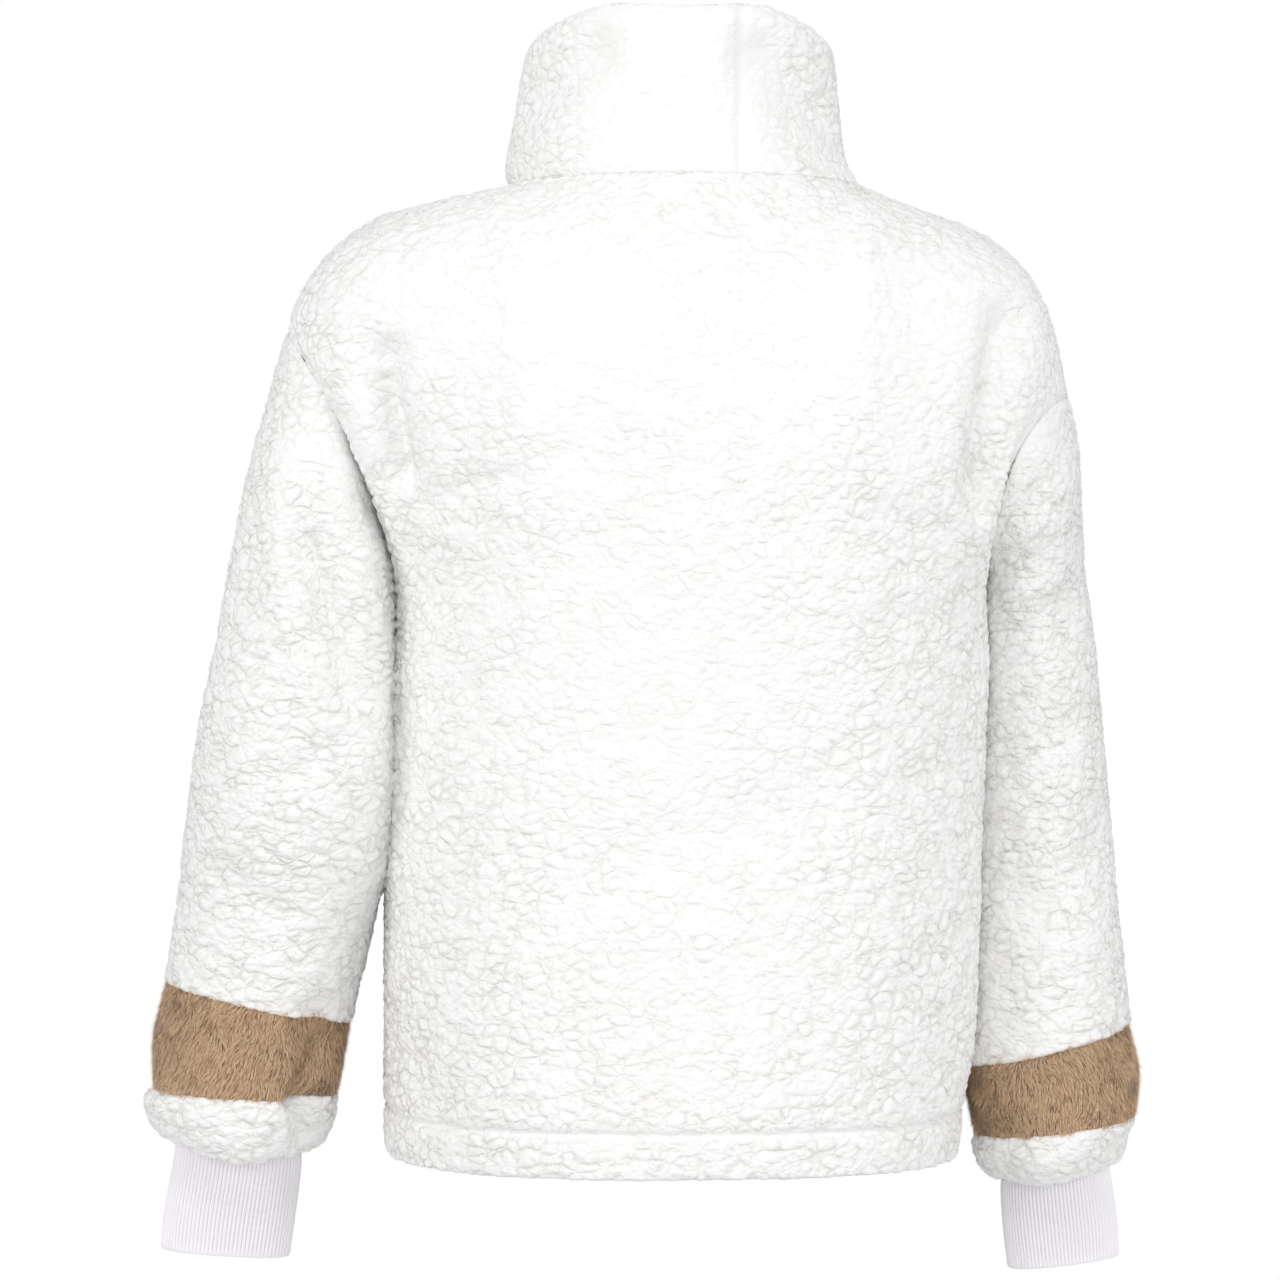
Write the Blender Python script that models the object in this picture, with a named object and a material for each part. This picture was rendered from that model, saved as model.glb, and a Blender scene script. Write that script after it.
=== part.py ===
"""A pile-fleece pullover, hollow, in the pose that it has when it is worn.

All tables are in millimetres. +Z is up, -Y is the wearer's front and +X the wearer's left. The origin is
in the middle of the neck seam, where the wearer's neck and shoulders hold the garment up.
"""

import math
from collections import namedtuple

import bmesh
import bpy
import numpy as np

MM = 0.001

# Walls, from the tips of the pile or the ribs to the plain inside
FLEECE_WALL = 5.5
COLLAR_WALL = 7.0
FUR_WALL = 8.0
RIB_WALL = 2.6
GATHER_WALL = 3.6

SEAM_GAP = 0.3
SEAM_DIP = 2.0
HEM_GROOVE = 2.2
RIB_HEIGHT = 0.9
RIBS = 48

# Roundness of the outlines seen from above: 2 is an ellipse, and more is squarer
TORSO_POWER = 2.35
ARM_POWER = 2.15
CUFF_POWER = 2.3

SIDE_SEAM_Y = -5.0
SIDE_SEAM_TURN = -17.0
SHOULDER_SEAM_Y = -5.0
YOKE_DROP = 58.0
YOKE_DROP_POWER = 6
NECK_SHARE = 0.40
ARMHOLE_PULL = 3
YOKE_SMOOTHING = 16

# How many rows and columns each stretch of cloth has
LOWER_ROWS = 10
YOKE_ROWS = 12
NECK_STEPS = 5
SHOULDER_STEPS = 8
FACING_BACK = 1
FACING_FRONT = -1

Level = namedtuple("Level", "z left right back front")
TORSO = (
    Level(z=-560, left=170.5, right=-158.5, back=119, front=-123),
    Level(z=-530, left=172.0, right=-162.5, back=120, front=-125),
    Level(z=-470, left=172.0, right=-166.0, back=118, front=-125),
    Level(z=-400, left=172.0, right=-168.5, back=115, front=-123),
    Level(z=-330, left=171.5, right=-171.0, back=114, front=-123),
    Level(z=-260, left=168.5, right=-174.0, back=117, front=-127),
    Level(z=-200, left=163.5, right=-176.0, back=119, front=-124),
)
HEM_Z = -560
HEM_STITCH_RISE = 25

Armhole = namedtuple("Armhole", "top back under_z front")
LEFT_ARMHOLE = Armhole(top=(227, -4, -84), back=(196, 66, -134), under_z=-202, front=(192, -70, -138))
RIGHT_ARMHOLE = Armhole(top=(-225, -6, -122), back=(-193, 60, -152), under_z=-212, front=(-190, -72, -158))

Spot = namedtuple("Spot", "x y z")
LEFT_SHOULDER = (
    Spot(x=100, y=-5, z=1),
    Spot(x=136, y=-8, z=-6.5),
    Spot(x=174, y=-9, z=-16),
    Spot(x=201, y=-7, z=-35),
    Spot(x=219, y=-5, z=-60),
)
RIGHT_SHOULDER = (
    Spot(x=-104, y=-5, z=1),
    Spot(x=-136, y=-8, z=-13),
    Spot(x=-172, y=-10, z=-24),
    Spot(x=-198, y=-9, z=-45),
    Spot(x=-214, y=-8, z=-75),
)

Neck = namedtuple("Neck", "rise side_rise front_rise left right back front")
COLLAR = (
    Neck(rise=0, side_rise=1, front_rise=-40, left=100, right=-104, back=74, front=-84),
    Neck(rise=12, side_rise=12, front_rise=-29, left=101, right=-97, back=73, front=-82),
    Neck(rise=32, side_rise=30, front_rise=-10, left=97.5, right=-93.5, back=72, front=-80),
    Neck(rise=54, side_rise=50, front_rise=12, left=94, right=-91.5, back=72, front=-79),
    Neck(rise=74, side_rise=68, front_rise=33, left=91, right=-89.5, back=71, front=-78),
    Neck(rise=88, side_rise=81, front_rise=49, left=86, right=-86, back=68, front=-75),
    Neck(rise=95, side_rise=87, front_rise=57, left=80, right=-80, back=63, front=-70),
)
COLLAR_SEAM_X = -34
COLLAR_SEAM_DEPTH = 1.5
COLLAR_SEAM_WIDTH = 7

Ring = namedtuple("Ring", "out_x out_z in_x in_z back front")
LEFT_ARM = (
    Ring(out_x=238, out_z=-126, in_x=169, in_z=-224, back=76, front=-66),
    Ring(out_x=249, out_z=-172, in_x=169.5, in_z=-250, back=86, front=-52),
    Ring(out_x=257, out_z=-217, in_x=169, in_z=-282, back=91, front=-41),
    Ring(out_x=265, out_z=-263, in_x=168.9, in_z=-316, back=91, front=-35),
    Ring(out_x=275, out_z=-310, in_x=169.2, in_z=-352, back=86, front=-36),
    Ring(out_x=283, out_z=-360, in_x=172, in_z=-390, back=75, front=-43),
    Ring(out_x=290, out_z=-410, in_x=178, in_z=-428, back=61, front=-56),
    Ring(out_x=298, out_z=-456, in_x=190, in_z=-481, back=53, front=-62),
    Ring(out_x=306, out_z=-490, in_x=194, in_z=-505, back=53, front=-61),
    Ring(out_x=307, out_z=-521, in_x=198, in_z=-527, back=52, front=-60),
    Ring(out_x=311, out_z=-541, in_x=201, in_z=-545, back=49, front=-58),
    Ring(out_x=307, out_z=-554, in_x=207, in_z=-559, back=42, front=-53),
    Ring(out_x=301, out_z=-558, in_x=213, in_z=-563, back=33, front=-44),
    Ring(out_x=294.6, out_z=-556, in_x=218, in_z=-561, back=15.5, front=-27.5),
)
RIGHT_ARM = (
    Ring(out_x=-231.5, out_z=-152, in_x=-179, in_z=-228, back=52, front=-84),
    Ring(out_x=-234, out_z=-186, in_x=-177, in_z=-248, back=42, front=-92),
    Ring(out_x=-237, out_z=-222, in_x=-175, in_z=-275, back=35, front=-97),
    Ring(out_x=-243, out_z=-264, in_x=-173, in_z=-308, back=30, front=-98),
    Ring(out_x=-248, out_z=-312, in_x=-171.5, in_z=-348, back=28, front=-97),
    Ring(out_x=-252, out_z=-362, in_x=-170.5, in_z=-392, back=29, front=-93),
    Ring(out_x=-256, out_z=-412, in_x=-169, in_z=-437, back=31, front=-87),
    Ring(out_x=-263, out_z=-483, in_x=-167, in_z=-507, back=35, front=-79),
    Ring(out_x=-269, out_z=-512, in_x=-168, in_z=-531, back=36, front=-77),
    Ring(out_x=-267, out_z=-540, in_x=-171, in_z=-551, back=36, front=-76),
    Ring(out_x=-262, out_z=-555, in_x=-171.5, in_z=-565, back=33, front=-73),
    Ring(out_x=-260.5, out_z=-564.5, in_x=-175.5, in_z=-574.5, back=26, front=-67),
    Ring(out_x=-257.6, out_z=-570, in_x=-180.5, in_z=-579, back=16, front=-58),
    Ring(out_x=-253.6, out_z=-571.5, in_x=-185.6, in_z=-580, back=3.6, front=-44.2),
)
# Which rings of an arm are its seams: the fur band lies between the first two, and the last is the cuff's
BAND_TOP = 7
BAND_FOOT = 9

Cuff = namedtuple("Cuff", "x half_width y half_depth out_z in_z")
LEFT_CUFF = (
    Cuff(x=256.3, half_width=36.6, y=-6, half_depth=20, out_z=-550, in_z=-555),
    Cuff(x=257.5, half_width=37.2, y=-7, half_depth=20, out_z=-566, in_z=-571),
    Cuff(x=262, half_width=38, y=-9, half_depth=20, out_z=-594, in_z=-599),
    Cuff(x=265, half_width=37.5, y=-11, half_depth=19, out_z=-617, in_z=-622),
)
RIGHT_CUFF = (
    Cuff(x=-219.6, half_width=31.4, y=-20, half_depth=20.8, out_z=-565, in_z=-571.5),
    Cuff(x=-220.6, half_width=32.6, y=-21, half_depth=22, out_z=-582, in_z=-588),
    Cuff(x=-223, half_width=33.2, y=-23, half_depth=22, out_z=-603, in_z=-610),
    Cuff(x=-225, half_width=32.5, y=-25, half_depth=21, out_z=-623, in_z=-631),
)

# Folds run along a line seen from behind or from the front. A negative depth is a ridge.
Fold = namedtuple("Fold", "x0 z0 x1 z1 width depth facing")
BODY_FOLDS = (
    Fold(x0=168, z0=-104, x1=160, z1=-168, width=12, depth=12, facing=FACING_BACK),
    Fold(x0=-184, z0=-84, x1=-168, z1=-178, width=13, depth=12, facing=FACING_BACK),
    Fold(x0=150, z0=-196, x1=40, z1=-156, width=20, depth=4, facing=FACING_BACK),
    Fold(x0=158, z0=-238, x1=60, z1=-214, width=20, depth=4, facing=FACING_BACK),
    Fold(x0=-158, z0=-230, x1=-66, z1=-196, width=22, depth=4, facing=FACING_BACK),
    Fold(x0=60, z0=-400, x1=-70, z1=-352, width=24, depth=4, facing=FACING_BACK),
    Fold(x0=160, z0=-112, x1=150, z1=-172, width=14, depth=10, facing=FACING_FRONT),
    Fold(x0=-162, z0=-122, x1=-152, z1=-180, width=14, depth=10, facing=FACING_FRONT),
    Fold(x0=150, z0=-200, x1=46, z1=-150, width=20, depth=4, facing=FACING_FRONT),
    Fold(x0=-152, z0=-214, x1=-50, z1=-166, width=20, depth=4, facing=FACING_FRONT),
    Fold(x0=-70, z0=-420, x1=64, z1=-372, width=24, depth=4, facing=FACING_FRONT),
)
LEFT_ARM_FOLDS = (
    Fold(x0=208, z0=-204, x1=178, z1=-290, width=15, depth=12, facing=FACING_BACK),
    Fold(x0=250, z0=-214, x1=216, z1=-330, width=20, depth=5, facing=FACING_BACK),
    Fold(x0=240, z0=-206, x1=196, z1=-262, width=18, depth=9, facing=FACING_FRONT),
    Fold(x0=268, z0=-300, x1=214, z1=-346, width=20, depth=7, facing=FACING_FRONT),
    Fold(x0=207, z0=-474, x1=210, z1=-556, width=9, depth=8, facing=FACING_BACK),
    Fold(x0=268, z0=-470, x1=270, z1=-552, width=14, depth=5, facing=FACING_FRONT),
)
RIGHT_ARM_FOLDS = (
    Fold(x0=-232, z0=-150, x1=-204, z1=-184, width=14, depth=8, facing=FACING_BACK),
    Fold(x0=-236, z0=-236, x1=-196, z1=-262, width=18, depth=5, facing=FACING_BACK),
    Fold(x0=-250, z0=-372, x1=-206, z1=-418, width=20, depth=5, facing=FACING_BACK),
    Fold(x0=-230, z0=-190, x1=-190, z1=-250, width=18, depth=9, facing=FACING_FRONT),
    Fold(x0=-244, z0=-320, x1=-196, z1=-362, width=20, depth=7, facing=FACING_FRONT),
    Fold(x0=-214, z0=-500, x1=-216, z1=-570, width=13, depth=5, facing=FACING_FRONT),
)
COLLAR_FOLDS = (
    Fold(x0=96, z0=46, x1=52, z1=66, width=15, depth=8, facing=FACING_BACK),
    Fold(x0=-98, z0=34, x1=-48, z1=62, width=17, depth=10, facing=FACING_BACK),
    Fold(x0=84, z0=4, x1=44, z1=26, width=16, depth=6, facing=FACING_FRONT),
    Fold(x0=-84, z0=0, x1=-40, z1=24, width=16, depth=7, facing=FACING_FRONT),
)

Finish = namedtuple("Finish", "colour roughness")
FLEECE = Finish(colour=(0.90, 0.89, 0.87, 1), roughness=0.95)
FUR = Finish(colour=(0.40, 0.27, 0.16, 1), roughness=0.85)
RIB_KNIT = Finish(colour=(0.86, 0.84, 0.85, 1), roughness=0.9)


def spline(knots, values, at):
    """A smooth curve through the values, with each knot's slope taken from its neighbours."""
    knots = np.asarray(knots, float)
    values = np.asarray(values, float)
    slopes = np.gradient(values, knots, axis=0)
    at = np.clip(np.asarray(at, float), knots[0], knots[-1])
    i = np.clip(np.searchsorted(knots, at) - 1, 0, len(knots) - 2)
    span = knots[i + 1] - knots[i]
    t = (at - knots[i]) / span
    shape = t.shape + (1,) * (values.ndim - 1)
    t, span = t.reshape(shape), span.reshape(shape)
    rise = t * t * (3 - 2 * t)
    return (
        values[i] * (1 - rise)
        + values[i + 1] * rise
        + slopes[i] * span * t * (1 - t) ** 2
        - slopes[i + 1] * span * t * t * (1 - t)
    )


def unit(vectors):
    return vectors / np.maximum(np.linalg.norm(vectors, axis=-1, keepdims=True), 1e-9)


def rounded(wave, power):
    """A sine or cosine made squarer, so that it draws a superellipse."""
    return np.sign(wave) * np.abs(wave) ** (2 / power)


def smoothstep(low, high, at):
    t = np.clip((at - low) / (high - low), 0, 1)
    return t * t * (3 - 2 * t)


def torso_point(facing, across, z):
    """A point of the torso. across runs from -1 at the right side seam to 1 at the left one."""
    level = spline([row.z for row in TORSO], [row[1:] for row in TORSO], z)
    left, right, back, front = np.moveaxis(level, -1, 0)
    depth = back if facing == FACING_BACK else front
    turn = across * math.pi / 2
    seam_y = SIDE_SEAM_Y + SIDE_SEAM_TURN * across
    x = (left + right) / 2 + (left - right) / 2 * rounded(np.sin(turn), TORSO_POWER)
    y = seam_y + (depth - seam_y) * rounded(np.abs(np.cos(turn)), TORSO_POWER)
    return np.stack([x, y, z], axis=-1)


def yoke_base_z(across):
    """The line where the yoke starts. It dips away from the underarm, so that no corner there is flat."""
    under = np.where(across > 0, LEFT_ARMHOLE.under_z, RIGHT_ARMHOLE.under_z)
    middle = (LEFT_ARMHOLE.under_z + RIGHT_ARMHOLE.under_z) / 2
    share = np.abs(across) ** YOKE_DROP_POWER
    return middle - YOKE_DROP + (under - middle + YOKE_DROP) * share


def armhole_keys(armhole, sign):
    under = torso_point(FACING_BACK, np.array(float(sign)), np.array(float(armhole.under_z)))
    return [np.array(p, float) for p in (armhole.top, armhole.back, under, armhole.front)]


def armhole_point(armhole, sign, turn):
    """A point of the armhole seam. turn is 0 at the top, 90 degrees at the back and 180 at the underarm."""
    top, back, under, front = armhole_keys(armhole, sign)
    turn = np.asarray(turn)[..., None]
    middle = (top + back + under + front) / 4
    twist = (top + under - back - front) / 4
    swing = (top - under) / 2 * np.cos(turn) + (back - front) / 2 * np.sin(turn)
    return middle + swing + twist * np.cos(2 * turn)


def armhole_normal(armhole, sign, turn):
    """Outward from the armhole's middle, and straight down at the underarm, where the cloth folds over."""
    top, back, under, front = armhole_keys(armhole, sign)
    outward = unit(armhole_point(armhole, sign, turn) - (top + back + under + front) / 4)
    down = (np.maximum(0, -np.cos(turn)) ** 2)[..., None]
    return unit(outward * (1 - down) + np.array([0.0, 0.0, -1.0]) * down)


def neck_point(turn, level):
    """A point of a ring round the neck. turn is 0 at the back and 90 degrees at the wearer's left."""
    turn = np.asarray(turn)
    row = spline([r.rise for r in COLLAR], [r for r in COLLAR], level)
    rise, side_rise, front_rise, left, right, back, front = np.moveaxis(row, -1, 0)
    x = (left + right) / 2 + (left - right) / 2 * np.sin(turn)
    reach = np.where(np.cos(turn) > 0, back - SHOULDER_SEAM_Y, SHOULDER_SEAM_Y - front)
    y = SHOULDER_SEAM_Y + reach * np.cos(turn)
    behind, before = np.maximum(0, np.cos(turn)) ** 1.5, np.maximum(0, -np.cos(turn)) ** 1.5
    z = side_rise + (rise - side_rise) * behind + (front_rise - side_rise) * before
    return np.stack([x, y, z], axis=-1)


def neck_turn(facing, across):
    turn = across / NECK_SHARE * math.pi / 2
    return turn if facing == FACING_BACK else math.pi - turn


def top_edge(facing, across):
    """The upper edge of a panel: the neck seam in the middle and a shoulder seam at each side."""
    neck = neck_point(neck_turn(facing, np.clip(across, -NECK_SHARE, NECK_SHARE)), np.zeros_like(across))
    along = np.clip((np.abs(across) - NECK_SHARE) / (1 - NECK_SHARE), 0, 1)
    left = [*LEFT_SHOULDER, LEFT_ARMHOLE.top]
    right = [*RIGHT_SHOULDER, RIGHT_ARMHOLE.top]
    stops = np.linspace(0, 1, len(left))
    shoulder = np.where((across > 0)[..., None], spline(stops, left, along), spline(stops, right, along))
    return np.where((np.abs(across) <= NECK_SHARE)[..., None], neck, shoulder)


def yoke_slopes(facing, across):
    """How a column of the yoke leaves the torso and arrives at the upper edge, as directions with a fullness."""
    z = yoke_base_z(across)
    leaving = 1.15 * unit(torso_point(facing, across, z + 1) - torso_point(facing, across, z - 1))
    turn = neck_turn(facing, np.clip(across, -NECK_SHARE, NECK_SHARE))
    to_collar = np.stack([-0.4 * np.sin(turn), -0.62 * np.cos(turn), np.full_like(turn, 0.72)], axis=-1)
    over_shoulder = np.stack([0 * turn, 0 * turn - facing, 0 * turn + 0.05], axis=-1)
    share = smoothstep(0.08, NECK_SHARE + 0.02, np.abs(across))[..., None]
    return leaving, unit(to_collar * (1 - share) + over_shoulder * share) * (1.0 + 0.55 * share)


def bare_yoke(facing, across, up):
    base = torso_point(facing, across, yoke_base_z(across))
    top = top_edge(facing, across)
    leaving, arriving = yoke_slopes(facing, across)
    reach = np.linalg.norm(top - base, axis=-1, keepdims=True)
    t = up[..., None]
    rise = t * t * (3 - 2 * t)
    bend = leaving * t * (1 - t) ** 2 - arriving * t * t * (1 - t)
    return base * (1 - rise) + top * rise + bend * reach


def yoke_point(facing, across, up):
    """A point above the underarm, pulled at its outer ends onto the armhole seams."""
    points = bare_yoke(facing, across, up)
    turn = math.pi * (1 - up) if facing == FACING_BACK else math.pi * (1 + up)
    for sign, armhole in ((1, LEFT_ARMHOLE), (-1, RIGHT_ARMHOLE)):
        miss = armhole_point(armhole, sign, turn) - bare_yoke(facing, np.full_like(up, sign), up)
        pull = np.clip(sign * across, 0, 1) ** ARMHOLE_PULL
        points = points + miss * pull[..., None]
    return points


def relaxed(grid, first):
    """The yoke with its inner points evened out, in turns that shrink it and swell it again."""
    for step in [0.5, -0.52] * YOKE_SMOOTHING:
        middle = (grid[:-2, 1:-1] + grid[2:, 1:-1] + grid[1:-1, :-2] + grid[1:-1, 2:]) / 4
        grid[first:-1, 1:-1] += step * (middle - grid[1:-1, 1:-1])[first - 1 :]
    return grid


def panel_columns():
    """Columns from the right side seam to the left one, closer together towards the armholes."""
    neck = np.linspace(0, NECK_SHARE, NECK_STEPS + 1)
    t = np.linspace(0, 1, SHOULDER_STEPS + 1)[1:]
    shoulder = NECK_SHARE + (1 - NECK_SHARE) * (1 - (1 - t) ** 1.45)
    half = np.concatenate([neck, shoulder])
    return np.concatenate([-half[:0:-1], half])


def torso_share_rows():
    """Heights from the hem to the yoke as shares, with rows close together at the hem's stitching."""
    stitch = HEM_STITCH_RISE / (LEFT_ARMHOLE.under_z - YOKE_DROP - HEM_Z)
    hem = np.array([0, 0.25, 0.72, 1.0, 1.3]) * stitch
    return np.concatenate([hem, np.linspace(hem[-1], 1, LOWER_ROWS - 3)[1:]])


def panel_grid(facing):
    across = panel_columns()
    rows = []
    for share in torso_share_rows():
        z = HEM_Z + (yoke_base_z(across) - HEM_Z) * share
        rows.append(torso_point(facing, across, z))
    for up in np.linspace(0, 1, YOKE_ROWS + 1)[1:]:
        rows.append(yoke_point(facing, across, np.full_like(across, up)))
    return relaxed(np.array(rows), len(torso_share_rows()) - 1)


def arm_turns():
    return np.arange(2 * YOKE_ROWS) * math.pi / YOKE_ROWS


def arm_rings(armhole, sign, rings):
    """The armhole seam and each ring of the table, as points round the arm."""
    turns = arm_turns()
    out = rounded(np.cos(turns), ARM_POWER)
    back = rounded(np.sin(turns), ARM_POWER)
    found = [armhole_point(armhole, sign, turns)]
    for ring in rings:
        x = (ring.out_x + ring.in_x) / 2 + (ring.out_x - ring.in_x) / 2 * out
        y = (ring.back + ring.front) / 2 + (ring.back - ring.front) / 2 * back
        z = (ring.out_z + ring.in_z) / 2 + (ring.out_z - ring.in_z) / 2 * out
        found.append(np.stack([x, y, z], axis=-1))
    return np.array(found)


def arm_grid(armhole, sign, rings):
    """The whole arm from the armhole to the cuff, and the rows at which its seams lie."""
    keys = arm_rings(armhole, sign, rings)
    stops = [0, 0.3]
    for key in range(1, len(keys)):
        steps = 2 if key <= BAND_TOP else 1
        stops += [key - 1 + step / steps for step in range(1, steps + 1)]
    stops = np.unique(np.round(stops + [BAND_TOP + 0.75, BAND_TOP + 1.25, BAND_FOOT + 0.7, BAND_FOOT + 1.4], 6))
    grid = spline(np.arange(len(keys)), keys, stops)
    seams = [int(np.argmin(np.abs(stops - at))) for at in (0, BAND_TOP + 1, BAND_FOOT + 1, len(keys) - 1)]
    return grid, seams


def collar_grid():
    neck = np.linspace(0, math.pi / 2, NECK_STEPS + 1)
    turns = np.concatenate([neck[:-1], neck[:-1] + math.pi / 2, neck[:-1] + math.pi, neck[:-1] + 1.5 * math.pi])
    levels = np.array([0, 5, 14, 26, 38, 50, 62, 74, 86, 95.0])
    return np.array([neck_point(turns, np.full_like(turns, level)) for level in levels])


def face_normals(grid, closed):
    """The normals of a grid's quads, each as long as twice the quad's area."""
    rolled = np.concatenate([grid, grid[:, :1]], axis=1) if closed else grid
    a, b, c, d = rolled[:-1, :-1], rolled[:-1, 1:], rolled[1:, 1:], rolled[1:, :-1]
    return np.cross(c - a, d - b)


def outward_sign(grid, closed):
    """1 where the grid's quads already face away from its rows' middles, and -1 where they don't."""
    rolled = np.concatenate([grid, grid[:, :1]], axis=1) if closed else grid
    middle = (rolled[:-1, :-1] + rolled[1:, 1:]) / 2
    axis = grid.mean(axis=1)[:-1, None] if closed else np.array([0.0, 0.0, 0.0]) * middle + middle * [0, 0, 1]
    return 1 if (face_normals(grid, closed) * (middle - axis)).sum() > 0 else -1


def shared_normals(grids):
    """Normals of several grids that meet at seams. A seam's points get the sum of both sides."""
    sums = {}
    for grid, closed in grids:
        normals = face_normals(grid, closed) * outward_sign(grid, closed)
        rows, columns = grid.shape[:2]
        for (i, j), _ in np.ndenumerate(normals[..., 0]):
            for corner in ((i, j), (i, (j + 1) % columns), (i + 1, j), (i + 1, (j + 1) % columns)):
                key = tuple(np.round(grid[corner], 3))
                sums[key] = sums.get(key, 0) + normals[i, j]
    return [unit(np.array([[sums[tuple(np.round(p, 3))] for p in row] for row in grid])) for grid, _ in grids]


def fold_offset(points, normals, folds):
    """How far the folds push each point inwards."""
    offset = np.zeros(points.shape[:-1])
    for fold in folds:
        start, end = np.array([fold.x0, fold.z0], float), np.array([fold.x1, fold.z1], float)
        run = end - start
        away = points[..., [0, 2]] - start
        along = np.clip(away @ run / (run @ run), 0, 1)
        apart = np.linalg.norm(away - along[..., None] * run, axis=-1)
        facing = smoothstep(0.15, 0.7, normals[..., 1] * fold.facing)
        offset += fold.depth * np.exp(-((apart / fold.width) ** 2)) * facing
    return offset


def gap_shift(edge, normals, inner_edge, closed):
    """Half a seam gap along the cloth, away from the seam and into the piece."""
    if closed:
        tangent = np.roll(edge, -1, axis=0) - np.roll(edge, 1, axis=0)
    else:
        tangent = np.gradient(edge, axis=0)
    across = unit(np.cross(unit(tangent), normals))
    sign = 1 if (across * (inner_edge - edge)).sum() > 0 else -1
    return across * sign * SEAM_GAP / 2


def tube_shift(grid, normals, foot, head):
    """The seam gaps at the ends of a tube."""
    shift = np.zeros_like(grid)
    if foot:
        shift[0] = gap_shift(grid[0], normals[0], grid[1], True)
    if head:
        shift[-1] = gap_shift(grid[-1], normals[-1], grid[-2], True)
    return shift


def panel_shift(grid, normals, facing):
    """The seam gaps of a panel: shoulders, neck, armholes and side seams, each up to its corners."""
    shift = np.zeros_like(grid)
    corners = SHOULDER_STEPS, SHOULDER_STEPS + 2 * NECK_STEPS
    for part in (slice(0, corners[0] + 1), slice(corners[0], corners[1] + 1), slice(corners[1], None)):
        shift[-1, part] += gap_shift(grid[-1, part], normals[-1, part], grid[-2, part], False)
    underarm = len(torso_share_rows()) - 1
    for edge, next_column in ((0, 1), (-1, -2)):
        shift[: underarm + 1, edge, 1] += facing * SEAM_GAP / 2
        armhole = slice(underarm, None)
        shift[armhole, edge] += gap_shift(
            grid[armhole, edge], normals[armhole, edge], grid[armhole, next_column], False
        )
    return shift


def wall(grid, normals, thickness, dips, shift):
    """The outer and inner points of a cloth wall, where dips lowers the pile."""
    thickness = np.broadcast_to(thickness, len(grid))[:, None, None]
    return grid - normals * dips[..., None] + shift, grid - normals * thickness + shift


def quads_of(first, rows, columns, closed):
    """Quads over a grid whose point numbers start at first."""
    wrap = columns if closed else columns - 1
    for i in range(rows - 1):
        for j in range(wrap):
            k = (j + 1) % columns
            yield (first + i * columns + j, first + i * columns + k, first + (i + 1) * columns + k, first + (i + 1) * columns + j)


def add_solid(name, outer, inner, closed, finish, inner_rows=None):
    """A closed solid between two grids of points with equal columns, in millimetres."""
    rows, columns = outer.shape[:2]
    inner = inner if inner_rows is None else inner[inner_rows]
    inside = rows * columns
    faces = list(quads_of(0, rows, columns, closed))
    faces += [quad[::-1] for quad in quads_of(inside, len(inner), columns, closed)]
    wrap = columns if closed else columns - 1
    last, last_inside = (rows - 1) * columns, inside + (len(inner) - 1) * columns
    for j in range(wrap):
        k = (j + 1) % columns
        faces.append((k, j, inside + j, inside + k))
        faces.append((last + j, last + k, last_inside + k, last_inside + j))
    if not closed:
        for i in range(rows - 1):
            for j, flip in ((0, False), (columns - 1, True)):
                quad = (i * columns + j, (i + 1) * columns + j, inside + (i + 1) * columns + j, inside + i * columns + j)
                faces.append(quad[::-1] if flip else quad)
    points = np.concatenate([outer.reshape(-1, 3), inner.reshape(-1, 3)]) * MM
    mesh = bpy.data.meshes.new(name)
    mesh.from_pydata(points.tolist(), [], faces)
    if signed_volume(points, faces) < 0:
        mesh.flip_normals()
    split_quads(mesh)
    mesh.shade_smooth()
    mesh.set_sharp_from_angle(angle=math.radians(50))
    mesh.materials.append(material_of(name, finish))
    solid = bpy.data.objects.new(name, mesh)
    bpy.context.scene.collection.objects.link(solid)
    return solid


def split_quads(mesh):
    """Turn the bent quads into flat triangles, along the diagonals that follow the form best."""
    shape = bmesh.new()
    shape.from_mesh(mesh)
    bmesh.ops.triangulate(shape, faces=shape.faces)
    shape.to_mesh(mesh)
    shape.free()


def signed_volume(points, faces):
    a, b, c, d = (points[[face[k] for face in faces]] for k in range(4))
    return (np.einsum("ij,ij->i", a, np.cross(b, c)) + np.einsum("ij,ij->i", a, np.cross(c, d))).sum() / 6


def material_of(name, finish):
    material = bpy.data.materials.new(name)
    material.use_nodes = True
    shader = material.node_tree.nodes["Principled BSDF"]
    shader.inputs["Base Color"].default_value = finish.colour
    shader.inputs["Roughness"].default_value = finish.roughness
    shader.inputs["Metallic"].default_value = 0
    return material


def seam_dips(grid, foot=False, head=False, sides=False):
    dips = np.zeros(grid.shape[:2])
    if foot:
        dips[0] = SEAM_DIP
    if head:
        dips[-1] = SEAM_DIP
    if sides:
        dips[:, 0] = dips[:, -1] = SEAM_DIP
    return dips


def make_panel(name, grid, normals, facing):
    dips = seam_dips(grid, head=True, sides=True)
    stitch_row = 3
    dips[stitch_row] = HEM_GROOVE
    # The pile lies flat at the underarm, where the wall turns over
    first_yoke_row = len(torso_share_rows()) - 1
    dips[first_yoke_row - 1 : first_yoke_row + 3, [0, -1]] = 0
    outer, inner = wall(grid, normals, FLEECE_WALL, dips, panel_shift(grid, normals, facing))
    add_solid(name, outer, inner, False, FLEECE)


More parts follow.
